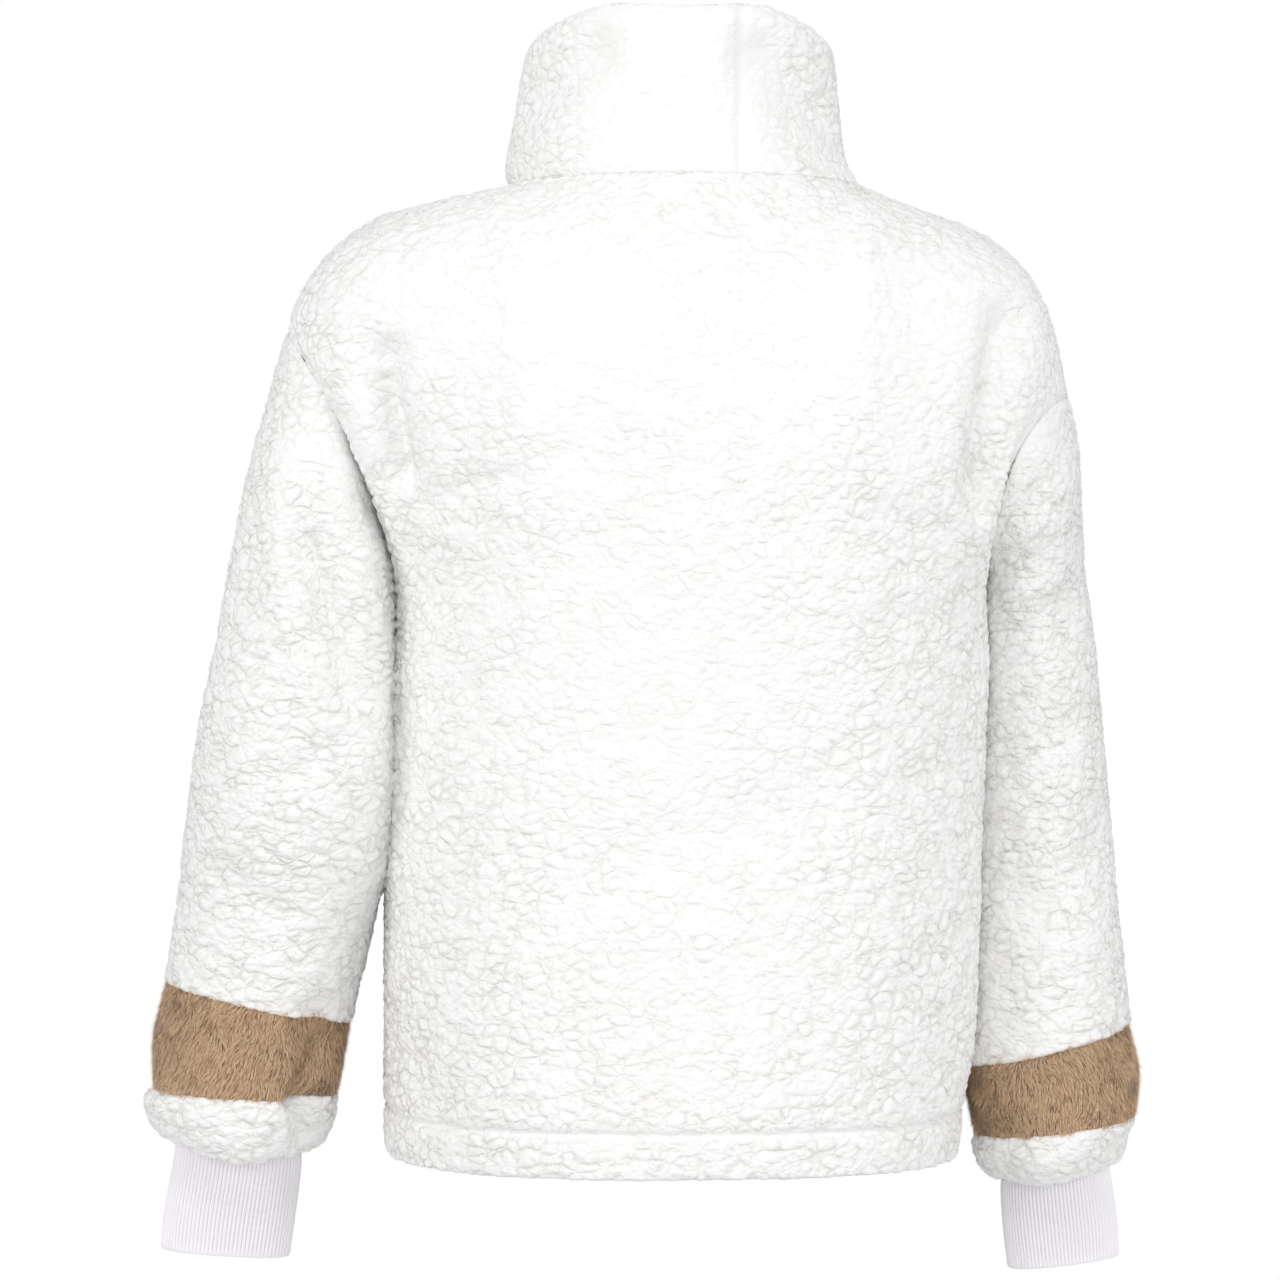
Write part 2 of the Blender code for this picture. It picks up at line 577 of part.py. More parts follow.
def make_arm(side, grid, seams, normals):
    """The sleeve, its fur band and the gathered end above the cuff."""
    armhole, top, foot, end = seams
    turned = slice(YOKE_ROWS - 2, YOKE_ROWS + 3)
    sleeve = slice(armhole, top + 1)
    dips = seam_dips(grid[sleeve], foot=True, head=True)
    dips[0, turned] = 0
    shift = tube_shift(grid[sleeve], normals[sleeve], foot=True, head=True)
    outer, inner = wall(grid[sleeve], normals[sleeve], FLEECE_WALL, dips, shift)
    add_solid(f"sleeve_{side}", outer, inner, True, FLEECE)
    band = slice(top, foot + 1)
    dips = seam_dips(grid[band], foot=True, head=True)
    shift = tube_shift(grid[band], normals[band], foot=True, head=True)
    outer, inner = wall(grid[band], normals[band], FUR_WALL, dips, shift)
    add_solid(f"fur_band_{side}", outer, inner, True, FUR)
    tail = slice(foot, end + 1)
    dips = seam_dips(grid[tail], foot=True)
    thinning = np.linspace(FLEECE_WALL, GATHER_WALL, len(grid[tail]))
    shift = tube_shift(grid[tail], normals[tail], foot=True, head=False)
    outer, inner = wall(grid[tail], normals[tail], thinning, dips, shift)
    add_solid(f"sleeve_end_{side}", outer, inner, True, FLEECE)


def make_collar(grid, normals):
    dips = seam_dips(grid, foot=True)
    behind = normals[..., 1] > 0
    dips += COLLAR_SEAM_DEPTH * np.exp(-(((grid[..., 0] - COLLAR_SEAM_X) / COLLAR_SEAM_WIDTH) ** 2)) * behind
    outer, inner = wall(grid, normals, COLLAR_WALL, dips, tube_shift(grid, normals, foot=True, head=False))
    add_solid("collar", outer, inner, True, FLEECE)


def make_cuff(side, rows):
    """A ribbed tube. Every second column lies in a groove, and the inside is plain."""
    turns = np.arange(2 * RIBS) * math.pi / RIBS
    out = rounded(np.cos(turns), CUFF_POWER)
    back = rounded(np.sin(turns), CUFF_POWER)
    sign = 1 if side == "left" else -1
    rings = []
    for row in rows:
        middle_z, tilt = (row.out_z + row.in_z) / 2, (row.out_z - row.in_z) / 2
        x = row.x + sign * row.half_width * out
        rings.append(np.stack([x, row.y + row.half_depth * back, middle_z + tilt * out], axis=-1))
    grid = spline(np.arange(len(rows)), np.array(rings), np.linspace(0, len(rows) - 1, 4))
    (normals,) = shared_normals([(grid, True)])
    dips = np.zeros(grid.shape[:2])
    dips[:, 1::2] = RIB_HEIGHT
    outer = grid - normals * dips[..., None]
    inner = grid - normals * RIB_WALL
    add_solid(f"cuff_{side}", outer, inner, True, RIB_KNIT, inner_rows=[0, 3])


def clear_scene():
    for thing in list(bpy.data.objects):
        bpy.data.objects.remove(thing)


def main():
    clear_scene()
    back, front = panel_grid(FACING_BACK), panel_grid(FACING_FRONT)
    left, seams = arm_grid(LEFT_ARMHOLE, 1, LEFT_ARM)
    right, _ = arm_grid(RIGHT_ARMHOLE, -1, RIGHT_ARM)
    collar = collar_grid()
    open_or_closed = [(back, False), (front, False), (left, True), (right, True), (collar, True)]
    folds = (BODY_FOLDS, BODY_FOLDS, LEFT_ARM_FOLDS, RIGHT_ARM_FOLDS, COLLAR_FOLDS)
    grids = [grid for grid, _ in open_or_closed]
    normals = shared_normals(open_or_closed)
    set_armhole_normals(normals)
    for grid, normal, rows in zip(grids, normals, folds):
        grid -= normal * (fold_offset(grid, normal, rows) * fade_at_seams(grid))[..., None]
    normals = shared_normals(open_or_closed)
    set_armhole_normals(normals)
    make_panel("back_panel", back, normals[0], FACING_BACK)
    make_panel("front_panel", front, normals[1], FACING_FRONT)
    make_arm("left", left, seams, normals[2])
    make_arm("right", right, seams, normals[3])
    make_collar(collar, normals[4])
    make_cuff("left", LEFT_CUFF)
    make_cuff("right", RIGHT_CUFF)


def fade_at_seams(grid):
    """0 on a grid's first and last rows, which other pieces share, and 1 inside it."""
    fade = np.ones(grid.shape[:2])
    fade[0] = fade[-1] = 0
    return fade


def set_armhole_normals(normals):
    """The two panels and the sleeve share these at the armhole seam, row by row."""
    back, front, left, right, _ = normals
    turns = arm_turns()
    first = len(torso_share_rows()) - 1
    for sign, armhole, arm, column in ((1, LEFT_ARMHOLE, left, -1), (-1, RIGHT_ARMHOLE, right, 0)):
        arm[0] = armhole_normal(armhole, sign, turns)
        back[first:, column] = arm[0][YOKE_ROWS::-1]
        front[first:, column] = np.concatenate([arm[0][YOKE_ROWS:], arm[0][:1]])


main()
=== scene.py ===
"""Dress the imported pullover: curly pile fleece, plush fur bands and fine rib cuffs.

Sizes are in millimetres until a mesh is made. +Z is up, +Y the wearer's back, which the camera sees, and
+X the wearer's left. The tables and forms of the cloth are those of the solids that the pieces replace. Each
table's columns are named in the line above its rows.
"""

import math
from collections import namedtuple

import bpy
import numpy as np
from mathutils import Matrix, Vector


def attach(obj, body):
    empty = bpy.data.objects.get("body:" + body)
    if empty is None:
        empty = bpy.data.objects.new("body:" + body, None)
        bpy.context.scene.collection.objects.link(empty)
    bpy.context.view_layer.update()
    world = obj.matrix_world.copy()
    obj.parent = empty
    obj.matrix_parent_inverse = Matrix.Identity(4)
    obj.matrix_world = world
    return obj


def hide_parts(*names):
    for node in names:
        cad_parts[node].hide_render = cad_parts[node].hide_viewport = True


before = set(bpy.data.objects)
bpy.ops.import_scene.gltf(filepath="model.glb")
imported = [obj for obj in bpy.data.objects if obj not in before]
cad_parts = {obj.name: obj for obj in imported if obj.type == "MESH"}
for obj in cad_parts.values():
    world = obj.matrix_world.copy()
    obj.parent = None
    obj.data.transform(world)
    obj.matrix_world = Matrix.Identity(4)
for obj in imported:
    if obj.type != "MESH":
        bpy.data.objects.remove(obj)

MM = 0.001

# Walls, from the tips of the pile or the ribs to the plain inside
FLEECE_WALL = 5.5
COLLAR_WALL = 7.0
FUR_WALL = 8.0
RIB_WALL = 2.6
GATHER_WALL = 3.6

# A seam draws the cloth into a crease and a wider hollow, and treads down the pile beside it
SEAM_DIP = 1.1
SEAM_CREASE_SHARE = 0.6
SEAM_CREASE_WIDTH = 3.6
SEAM_HOLLOW_SHARE = 0.35
SEAM_HOLLOW_REACH = 10
SEAM_PILE = 0.85
SEAM_PILE_REACH = 2.5
# How far along the cloth an open edge's own shift fades out, and the longest step of its roll
EDGE_REACH = 12
ROLL_STEP = 1.6
HEM_GROOVE = 2.2
HEM_GROOVE_WIDTH = 2.4
HEM_GROOVE_PILE = 0.6

# How far apart the points of each outside lie, and how many of its rows the plain inside keeps
BODY_STEP = 2.0
SLEEVE_STEP = 2.0
COLLAR_STEP = 1.7
BAND_STEP = 3.0
SLEEVE_END_STEP = 1.5
INNER_EVERY = 5

# Roundness of the outlines seen from above: 2 is an ellipse, and more is squarer
TORSO_POWER = 2.35
ARM_POWER = 2.15
CUFF_POWER = 2.3

SIDE_SEAM_Y = -5.0
SIDE_SEAM_TURN = -17.0
SHOULDER_SEAM_Y = -5.0
YOKE_DROP = 58.0
YOKE_DROP_POWER = 6
NECK_SHARE = 0.40
ARMHOLE_PULL = 3
YOKE_SMOOTHING = 16
YOKE_FULLNESS = 1.15
SHOULDER_FULLNESS = 0.55
# How a column of the yoke runs into the collar: across, back to front, and up
INTO_COLLAR = (0.4, 0.62, 0.72)

# How many rows and columns the forms' own grids have, before they are refined
LOWER_ROWS = 10
YOKE_ROWS = 12
NECK_STEPS = 5
SHOULDER_STEPS = 8
BACK = 1
FRONT = -1

Level = namedtuple("Level", "z left right back front")
TORSO = (
    Level(-560, 170.5, -158.5, 119, -123),
    Level(-530, 172.0, -162.5, 120, -125),
    Level(-470, 172.0, -166.0, 118, -125),
    Level(-400, 172.0, -168.5, 115, -123),
    Level(-330, 171.5, -171.0, 114, -123),
    Level(-260, 168.5, -174.0, 117, -127),
    Level(-200, 163.5, -176.0, 119, -124),
)
HEM_Z = TORSO[0].z
HEM_STITCH_RISE = 25

Armhole = namedtuple("Armhole", "top back under_z front")
LEFT_ARMHOLE = Armhole((227, -4, -84), (196, 66, -134), -202, (192, -70, -138))
RIGHT_ARMHOLE = Armhole((-225, -6, -122), (-193, 60, -152), -212, (-190, -72, -158))

Spot = namedtuple("Spot", "x y z")
LEFT_SHOULDER = (
    Spot(100, -5, 1),
    Spot(136, -8, -6.5),
    Spot(174, -9, -16),
    Spot(201, -7, -35),
    Spot(219, -5, -60),
)
RIGHT_SHOULDER = (
    Spot(-104, -5, 1),
    Spot(-136, -8, -13),
    Spot(-172, -10, -24),
    Spot(-198, -9, -45),
    Spot(-214, -8, -75),
)

Neck = namedtuple("Neck", "rise side_rise front_rise left right back front")
COLLAR = (
    Neck(0, 1, -40, 100, -104, 74, -84),
    Neck(12, 12, -29, 101, -97, 73, -82),
    Neck(32, 30, -10, 97.5, -93.5, 72, -80),
    Neck(54, 50, 12, 94, -91.5, 72, -79),
    Neck(74, 68, 33, 91, -89.5, 71, -78),
    Neck(88, 81, 49, 86, -86, 68, -75),
    Neck(95, 87, 57, 80, -80, 63, -70),
)
COLLAR_SEAM_X = -34
COLLAR_SEAM_DEPTH = 1.5
COLLAR_SEAM_WIDTH = 7
# The rows of the collar's own grid, by the height of their backs, and how far the pile lies down along its seam
COLLAR_LEVELS = (0, 5, 14, 26, 38, 50, 62, 74, 86, 95)
COLLAR_SEAM_PILE = 0.6

Ring = namedtuple("Ring", "out_x out_z in_x in_z back front")
LEFT_ARM = (
    Ring(238, -126, 169, -224, 76, -66),
    Ring(249, -172, 169.5, -250, 86, -52),
    Ring(257, -217, 169, -282, 91, -41),
    Ring(265, -263, 168.9, -316, 91, -35),
    Ring(275, -310, 169.2, -352, 86, -36),
    Ring(283, -360, 172, -390, 75, -43),
    Ring(290, -410, 178, -428, 61, -56),
    Ring(298, -456, 190, -481, 53, -62),
    Ring(306, -490, 194, -505, 53, -61),
    Ring(307, -521, 198, -527, 52, -60),
    Ring(311, -541, 201, -545, 49, -58),
    Ring(307, -554, 207, -559, 42, -53),
    Ring(301, -558, 213, -563, 33, -44),
    Ring(294.6, -556, 218, -561, 15.5, -27.5),
)
RIGHT_ARM = (
    Ring(-231.5, -152, -179, -228, 52, -84),
    Ring(-234, -186, -177, -248, 42, -92),
    Ring(-237, -222, -175, -275, 35, -97),
    Ring(-243, -264, -173, -308, 30, -98),
    Ring(-248, -312, -171.5, -348, 28, -97),
    Ring(-252, -362, -170.5, -392, 29, -93),
    Ring(-256, -412, -169, -437, 31, -87),
    Ring(-263, -483, -167, -507, 35, -79),
    Ring(-269, -512, -168, -531, 36, -77),
    Ring(-267, -540, -171, -551, 36, -76),
    Ring(-262, -555, -171.5, -565, 33, -73),
    Ring(-260.5, -564.5, -175.5, -574.5, 26, -67),
    Ring(-257.6, -570, -180.5, -579, 16, -58),
    Ring(-253.6, -571.5, -185.6, -580, 3.6, -44.2),
)
# Which rings of an arm are its seams: the fur band lies between the first two, and the last is the cuff's
BAND_TOP = 7
BAND_FOOT = 9

Cuff = namedtuple("Cuff", "x half_width y half_depth out_z in_z")
LEFT_CUFF = (
    Cuff(256.3, 36.6, -6, 20, -550, -555),
    Cuff(257.5, 37.2, -7, 20, -566, -571),
    Cuff(262, 38, -9, 20, -594, -599),
    Cuff(265, 37.5, -11, 19, -617, -622),
)
RIGHT_CUFF = (
    Cuff(-219.6, 31.4, -20, 20.8, -565, -571.5),
    Cuff(-220.6, 32.6, -21, 22, -582, -588),
    Cuff(-223, 33.2, -23, 22, -603, -610),
    Cuff(-225, 32.5, -25, 21, -623, -631),
)

# The form's own rows that matter later: the hem's stitching and the underarm
HEM_STITCH_ROW = 3
UNDERARM_ROW = LOWER_ROWS
HEM_FULLNESS = 0.8
# The puckers of a sleeve's end: their depth, two trains of waves round it, and how far they run up and down
PUCKER_DEPTH = 1.5
PUCKER_WAVES = (13, 19)
PUCKER_REACH_DOWN = 9
PUCKER_REACH_UP = 14
# How far a sleeve's end is drawn up at each distance to the wearer's own side
SAGS = {
    "left": ((200, 4), (216, 4.5), (230, 2.5), (240, -1), (252, -3), (264, -1), (275, 3), (287, 8), (300, 11)),
    "right": ((168, 5), (185, 3), (196, 0), (208, -3), (222, -2), (236, 1), (250, 4), (262, 5)),
}
# How far a sleeve's lower end lies over the fur band
OVERLAP = 1.0

# Ribs and knitting of the cuffs
RIBS = 80
RIB_COLUMNS = 6
RIB_HEIGHT = 1.1
RIB_ROUNDNESS = 0.8
CUFF_ROWS = 34
STITCH_LENGTH = 1.5

# The pile: nubs wider than they are high, smaller curls on them, and slow rises and falls, in metres
NUB_SIZE = (0.0098, 0.0085, 0.0066)
NUB_BEND = 0.009
CURL_SIZE = (0.0042, 0.0038, 0.0031)
CURL_BEND = 0.004
COARSE_BENDS = 60
FINE_BENDS = 230
FINE_BEND_SHARE = 0.3
PILE = {
    "Nub Height": 0.0020,
    "Curl Height": 0.0010,
    "Sway Size": 0.035,
    "Sway Height": 0.0020,
    "Proud": 0.0013,
}
# How far the slopes beside a crack, its dark line (dark partly from painted shade) and a curl's dome reach, counted
# in lumps
LUMP_REACH = 0.40
LINE_REACH = 0.15
BEAD_REACH = 0.85
# The line's part in a crack's depth, the depth of the shallowest crack, and how closely deep and shallow ones change
LINE_SHARE = 0.35
LEAST_CRACK = 0.4
CRACK_CHANGES = 0.55

# The fur: how far its roots lie below the tips, and its hairs
FUR_PILE = 4.0
HAIR_LENGTH = 0.0066
HAIR_LENGTHS = (0.62, 1.12)
HAIR_WIDTH = 0.00042
# The ribbon of one hair: how far along, how high and how wide it is at each of its places
HAIR_BEND = ((0, 0, 1), (0.3, 0.42, 0.9), (0.86, 0.52, 0))
HAIR_DENSITY = 2.9e6
TUFT_SIZE = 0.0038
TUFT_PULL = 22
SWIRL_SCALE = 55
SWIRL = 2.8
STRAY = 0.4
FUR_SLANT = {"left": 0.35, "right": -0.2}

# Folds run along a line seen from behind or from the front. A negative depth is a ridge.
Fold = namedtuple("Fold", "x0 z0 x1 z1 width depth facing")
BODY_FOLDS = (
    Fold(168, -104, 160, -168, 12, 12, BACK),
    Fold(-184, -84, -168, -178, 13, 12, BACK),
    Fold(150, -196, 40, -156, 20, 4, BACK),
    Fold(158, -238, 60, -214, 20, 4, BACK),
    Fold(-158, -230, -66, -196, 22, 4, BACK),
    Fold(60, -400, -70, -352, 24, 4, BACK),
    Fold(160, -112, 150, -172, 14, 10, FRONT),
    Fold(-162, -122, -152, -180, 14, 10, FRONT),
    Fold(150, -200, 46, -150, 20, 4, FRONT),
    Fold(-152, -214, -50, -166, 20, 4, FRONT),
    Fold(-70, -420, 64, -372, 24, 4, FRONT),
)
LEFT_ARM_FOLDS = (
    Fold(208, -204, 178, -290, 15, 12, BACK),
    Fold(250, -214, 216, -330, 20, 5, BACK),
    Fold(240, -206, 196, -262, 18, 9, FRONT),
    Fold(268, -300, 214, -346, 20, 7, FRONT),
    Fold(207, -474, 210, -556, 9, 8, BACK),
    Fold(268, -470, 270, -552, 14, 5, FRONT),
)
RIGHT_ARM_FOLDS = (
    Fold(-232, -150, -204, -184, 14, 8, BACK),
    Fold(-236, -236, -196, -262, 18, 5, BACK),
    Fold(-250, -372, -206, -418, 20, 5, BACK),
    Fold(-230, -190, -190, -250, 18, 9, FRONT),
    Fold(-244, -320, -196, -362, 20, 7, FRONT),
    Fold(-214, -500, -216, -570, 13, 5, FRONT),
)
COLLAR_FOLDS = (
    Fold(96, 46, 52, 66, 15, 8, BACK),
    Fold(-98, 34, -48, 62, 17, 10, BACK),
    Fold(84, 4, 44, 26, 16, 6, FRONT),
    Fold(-84, 0, -40, 24, 16, 7, FRONT),
)

# Finer creases than the solids carry, in the same columns
BODY_CREASES = (
    Fold(166, -118, 158, -172, 5, 5, BACK),
    Fold(-183, -84, -172, -120, 4.5, 5, BACK),
    Fold(-172, -120, -169, -196, 4.5, 5, BACK),
    Fold(146, -186, 96, -172, 7, 2.4, BACK),
    Fold(152, -214, 104, -200, 8, 2.0, BACK),
    Fold(142, -206, 118, -206, 6, -1.4, BACK),
    Fold(-150, -204, -112, -190, 8, 2.2, BACK),
    Fold(-156, -250, -120, -252, 9, 2.4, BACK),
    Fold(-158, -330, -128, -344, 9, 2.0, BACK),
    Fold(-8, -406, -42, -398, 9, 1.8, BACK),
    Fold(152, -300, 120, -290, 10, 1.8, BACK),
    Fold(156, -500, 136, -530, 14, 3.2, BACK),
    Fold(-150, -430, -128, -452, 10, 1.8, BACK),
    Fold(60, -500, 30, -545, 13, 1.6, BACK),
    Fold(-66, -492, -84, -546, 14, 1.6, BACK),
    Fold(146, -186, 92, -168, 8, 2.4, FRONT),
    Fold(-148, -196, -100, -180, 8, 2.4, FRONT),
    Fold(-40, -404, 26, -386, 9, 2.0, FRONT),
    Fold(-144, -480, -112, -520, 13, 2.4, FRONT),
)
LEFT_ARM_CREASES = (
    Fold(205, -262, 236, -276, 7, 2.4, BACK),
    Fold(190, -318, 216, -338, 8, 2.2, BACK),
    Fold(262, -392, 226, -420, 9, 2.0, BACK),
    Fold(200, -486, 218, -528, 5, 7, BACK),
    Fold(194, -488, 203, -524, 4, 5, BACK),
    Fold(217, -526, 213, -562, 6, 9, BACK),
    Fold(198, -206, 172, -276, 6, 8, BACK),
    Fold(181, -204, 170, -236, 8, -4, BACK),
    Fold(250, -252, 224, -282, 9, 2.4, FRONT),
)
RIGHT_ARM_CREASES = (
    Fold(-230, -152, -206, -182, 14, -4, BACK),
    Fold(-212, -212, -190, -226, 8, 2.2, BACK),
    Fold(-244, -300, -214, -318, 9, 2.2, BACK),
    Fold(-206, -380, -184, -402, 8, 1.8, BACK),
    Fold(-236, -262, -204, -290, 9, 2.4, FRONT),
)

# Where the sleeves lie against the sides, and both are pressed across into each other
Lean = namedtuple("Lean", "x0 z0 x1 z1 width reach")
BODY_LEANS = (
    Lean(171, -210, 171, -388, 16, 3.5),
    Lean(-174, -218, -164, -500, 16, -4),
)
LEFT_ARM_LEANS = (Lean(168, -222, 172, -388, 20, -6),)
RIGHT_ARM_LEANS = (Lean(-177, -228, -167, -500, 20, 6),)

# The collar's upper edge runs straighter across than its solid's: where it rises, how widely and how far
COLLAR_LIFT_X = 42
COLLAR_LIFT_WIDTH = 26
COLLAR_LIFT = 5
# The collar's pile, and how much flatter it lies in the middle of the back, between these distances from it
COLLAR_PILE = 0.78
COLLAR_FLATTER = 0.5
COLLAR_MIDDLE = (40, 80)

# Where the pile lies flatter than round about
Patch = namedtuple("Patch", "x z radius share facing")
FLAT_PATCHES = (
    Patch(188, -150, 30, 0.5, BACK),
    Patch(-205, -146, 24, 0.5, BACK),
    Patch(10, -290, 125, 0.6, BACK),
    Patch(70, -80, 90, 0.55, BACK),
    Patch(-90, -90, 90, 0.55, BACK),
    Patch(-10, -480, 90, 0.35, BACK),
    Patch(160, -75, 46, 0.35, BACK),
    Patch(-170, -85, 46, 0.35, BACK),
    Patch(0, -300, 130, 0.3, FRONT),
)

# What each piece was cut to, laid flat: its box in millimetres and its area in square metres
Cut = namedtuple("Cut", "width length area held rests_on")
CUTS = {
    "back_panel": Cut(640, 630, 0.28, "hung", ["collar"]),
    "front_panel": Cut(650, 630, 0.27, "hung", ["collar"]),
    "collar": Cut(585, 100, 0.0505, "hung", ["back_panel", "front_panel"]),
    "sleeve_left": Cut(430, 385, 0.123, "hung", ["back_panel", "front_panel"]),
    "sleeve_right": Cut(380, 370, 0.11, "hung", ["back_panel", "front_panel"]),
    "fur_band_left": Cut(360, 66, 0.0201, "hung", ["sleeve_left"]),
    "fur_band_right": Cut(345, 58, 0.0172, "hung", ["sleeve_right"]),
    "sleeve_end_left": Cut(351, 62, 0.0168, "gathered", ["fur_band_left"]),
    "sleeve_end_right": Cut(332, 51, 0.0122, "gathered", ["fur_band_right"]),
    "cuff_left": Cut(191, 69, 0.0128, "hung", ["sleeve_end_left"]),
    "cuff_right": Cut(180, 60, 0.0104, "hung", ["sleeve_end_right"]),
}

# Colours of the finishes, and how fine the fleece's fibres and its drifts of cream are
FIBRE_SCALE = 900
DRIFT_SCALE = 20
FLEECE_TIPS = (0.90, 0.90, 0.897, 1)
# Painted shade: the next colour darkens the cracks between the pile's nubs and curls
FLEECE_PAINTED_CRACK_SHADE = (0.865, 0.85, 0.82, 1)
FLEECE_CREAM = (0.89, 0.88, 0.865, 1)
FLEECE_BACK = (0.78, 0.77, 0.75, 1)
FUR_ROOT = (0.25, 0.145, 0.075, 1)
FUR_BROWN = (0.43, 0.265, 0.145, 1)
FUR_TAN = (0.66, 0.445, 0.265, 1)
FUR_PALE = (0.84, 0.63, 0.42, 1)
RIB_WHITE = (0.91, 0.885, 0.925, 1)
# Painted shade: the next colour darkens the grooves between the cuffs' ribs
RIB_GROOVE_PAINTED_SHADE = (0.78, 0.75, 0.79, 1)
FLOOR_GREY = (0.9, 0.9, 0.9, 1)

# Studio, in metres and watts, and the camera, in millimetres
Light = namedtuple("Light", "place side power")
LIGHTS = {
    "key": Light((0.35, 1.7, 1.9), 1.1, 18.5),
    "fill": Light((-0.3, 3.2, -0.1), 1.2, 17),
    "left": Light((2.1, 1.5, 0.2), 1.0, 17),
    "right": Light((-2.1, 1.5, 0.2), 1.0, 17),
}
LIGHT_TARGET = (0.02, 0, -0.28)
WORLD_STRENGTH = 0.495
FLOOR_Z = -1.0
FLOOR_RADIUS = 1.2
SENSOR = 36.0
CAMERA_DISTANCE = 2200.0
VIEW_WIDTH = 742.4
VIEW_MIDDLE_X = 23.2
VIEW_MIDDLE_Z = -263.0


def spline(knots, values, at):
    """A smooth curve through the values, with each knot's slope taken from its neighbours."""
    knots = np.asarray(knots, float)
    values = np.asarray(values, float)
    slopes = np.gradient(values, knots, axis=0)
    at = np.clip(np.asarray(at, float), knots[0], knots[-1])
    i = np.clip(np.searchsorted(knots, at) - 1, 0, len(knots) - 2)
    span = knots[i + 1] - knots[i]
    t = (at - knots[i]) / span
    shape = t.shape + (1,) * (values.ndim - 1)
    t, span = t.reshape(shape), span.reshape(shape)
    rise = t * t * (3 - 2 * t)
    return (
        values[i] * (1 - rise)
        + values[i + 1] * rise
        + slopes[i] * span * t * (1 - t) ** 2
        - slopes[i + 1] * span * t * t * (1 - t)
    )


def unit(vectors):
    """The same directions, each a unit long."""
    return vectors / np.maximum(np.linalg.norm(vectors, axis=-1, keepdims=True), 1e-9)


def rounded(wave, power):
    """A sine or cosine made squarer, so that it draws a superellipse."""
    return np.sign(wave) * np.abs(wave) ** (2 / power)


def smoothstep(low, high, at):
    t = np.clip((at - low) / (high - low), 0, 1)
    return t * t * (3 - 2 * t)


def torso_point(facing, across, z):
    """A point of the torso. across runs from -1 at the right side seam to 1 at the left one."""
    level = spline([row.z for row in TORSO], [row[1:] for row in TORSO], z)
    left, right, back, front = np.moveaxis(level, -1, 0)
    depth = back if facing == BACK else front
    turn = across * math.pi / 2
    seam_y = SIDE_SEAM_Y + SIDE_SEAM_TURN * across
    x = (left + right) / 2 + (left - right) / 2 * rounded(np.sin(turn), TORSO_POWER)
    y = seam_y + (depth - seam_y) * rounded(np.abs(np.cos(turn)), TORSO_POWER)
    return np.stack([x, y, z], axis=-1)


def yoke_base_z(across):
    """The line where the yoke starts. It dips away from the underarm, so that no corner there is flat."""
    under = np.where(across > 0, LEFT_ARMHOLE.under_z, RIGHT_ARMHOLE.under_z)
    middle = (LEFT_ARMHOLE.under_z + RIGHT_ARMHOLE.under_z) / 2
    share = np.abs(across) ** YOKE_DROP_POWER
    return middle - YOKE_DROP + (under - middle + YOKE_DROP) * share


def armhole_keys(armhole, sign):
    under = torso_point(BACK, np.array(float(sign)), np.array(float(armhole.under_z)))
    return [np.array(p, float) for p in (armhole.top, armhole.back, under, armhole.front)]


def armhole_point(armhole, sign, turn):
    """A point of the armhole seam. turn is 0 at the top, 90 degrees at the back and 180 at the underarm."""
    top, back, under, front = armhole_keys(armhole, sign)
    turn = np.asarray(turn)[..., None]
    middle = (top + back + under + front) / 4
    twist = (top + under - back - front) / 4
    swing = (top - under) / 2 * np.cos(turn) + (back - front) / 2 * np.sin(turn)
    return middle + swing + twist * np.cos(2 * turn)


def armhole_normal(armhole, sign, turn):
    """Outward from the armhole's middle, and straight down at the underarm, where the cloth folds over."""
    top, back, under, front = armhole_keys(armhole, sign)
    outward = unit(armhole_point(armhole, sign, turn) - (top + back + under + front) / 4)
    down = (np.maximum(0, -np.cos(turn)) ** 2)[..., None]
    return unit(outward * (1 - down) + np.array([0.0, 0.0, -1.0]) * down)


def neck_point(turn, level):
    """A point of a ring round the neck. turn is 0 at the back and 90 degrees at the wearer's left."""
    turn = np.asarray(turn)
    row = spline([r.rise for r in COLLAR], COLLAR, level)
    rise, side_rise, front_rise, left, right, back, front = np.moveaxis(row, -1, 0)
    x = (left + right) / 2 + (left - right) / 2 * np.sin(turn)
    reach = np.where(np.cos(turn) > 0, back - SHOULDER_SEAM_Y, SHOULDER_SEAM_Y - front)
    y = SHOULDER_SEAM_Y + reach * np.cos(turn)
    behind, before = np.maximum(0, np.cos(turn)) ** 1.5, np.maximum(0, -np.cos(turn)) ** 1.5
    z = side_rise + (rise - side_rise) * behind + (front_rise - side_rise) * before
    return np.stack([x, y, z], axis=-1)


def neck_turn(facing, across):
    turn = across / NECK_SHARE * math.pi / 2
    return turn if facing == BACK else math.pi - turn


def top_edge(facing, across):
    """The upper edge of a panel: the neck seam in the middle and a shoulder seam at each side."""
    neck = neck_point(neck_turn(facing, np.clip(across, -NECK_SHARE, NECK_SHARE)), np.zeros_like(across))
    along = np.clip((np.abs(across) - NECK_SHARE) / (1 - NECK_SHARE), 0, 1)
    left = [*LEFT_SHOULDER, LEFT_ARMHOLE.top]
    right = [*RIGHT_SHOULDER, RIGHT_ARMHOLE.top]
    stops = np.linspace(0, 1, len(left))
    shoulder = np.where((across > 0)[..., None], spline(stops, left, along), spline(stops, right, along))
    return np.where((np.abs(across) <= NECK_SHARE)[..., None], neck, shoulder)


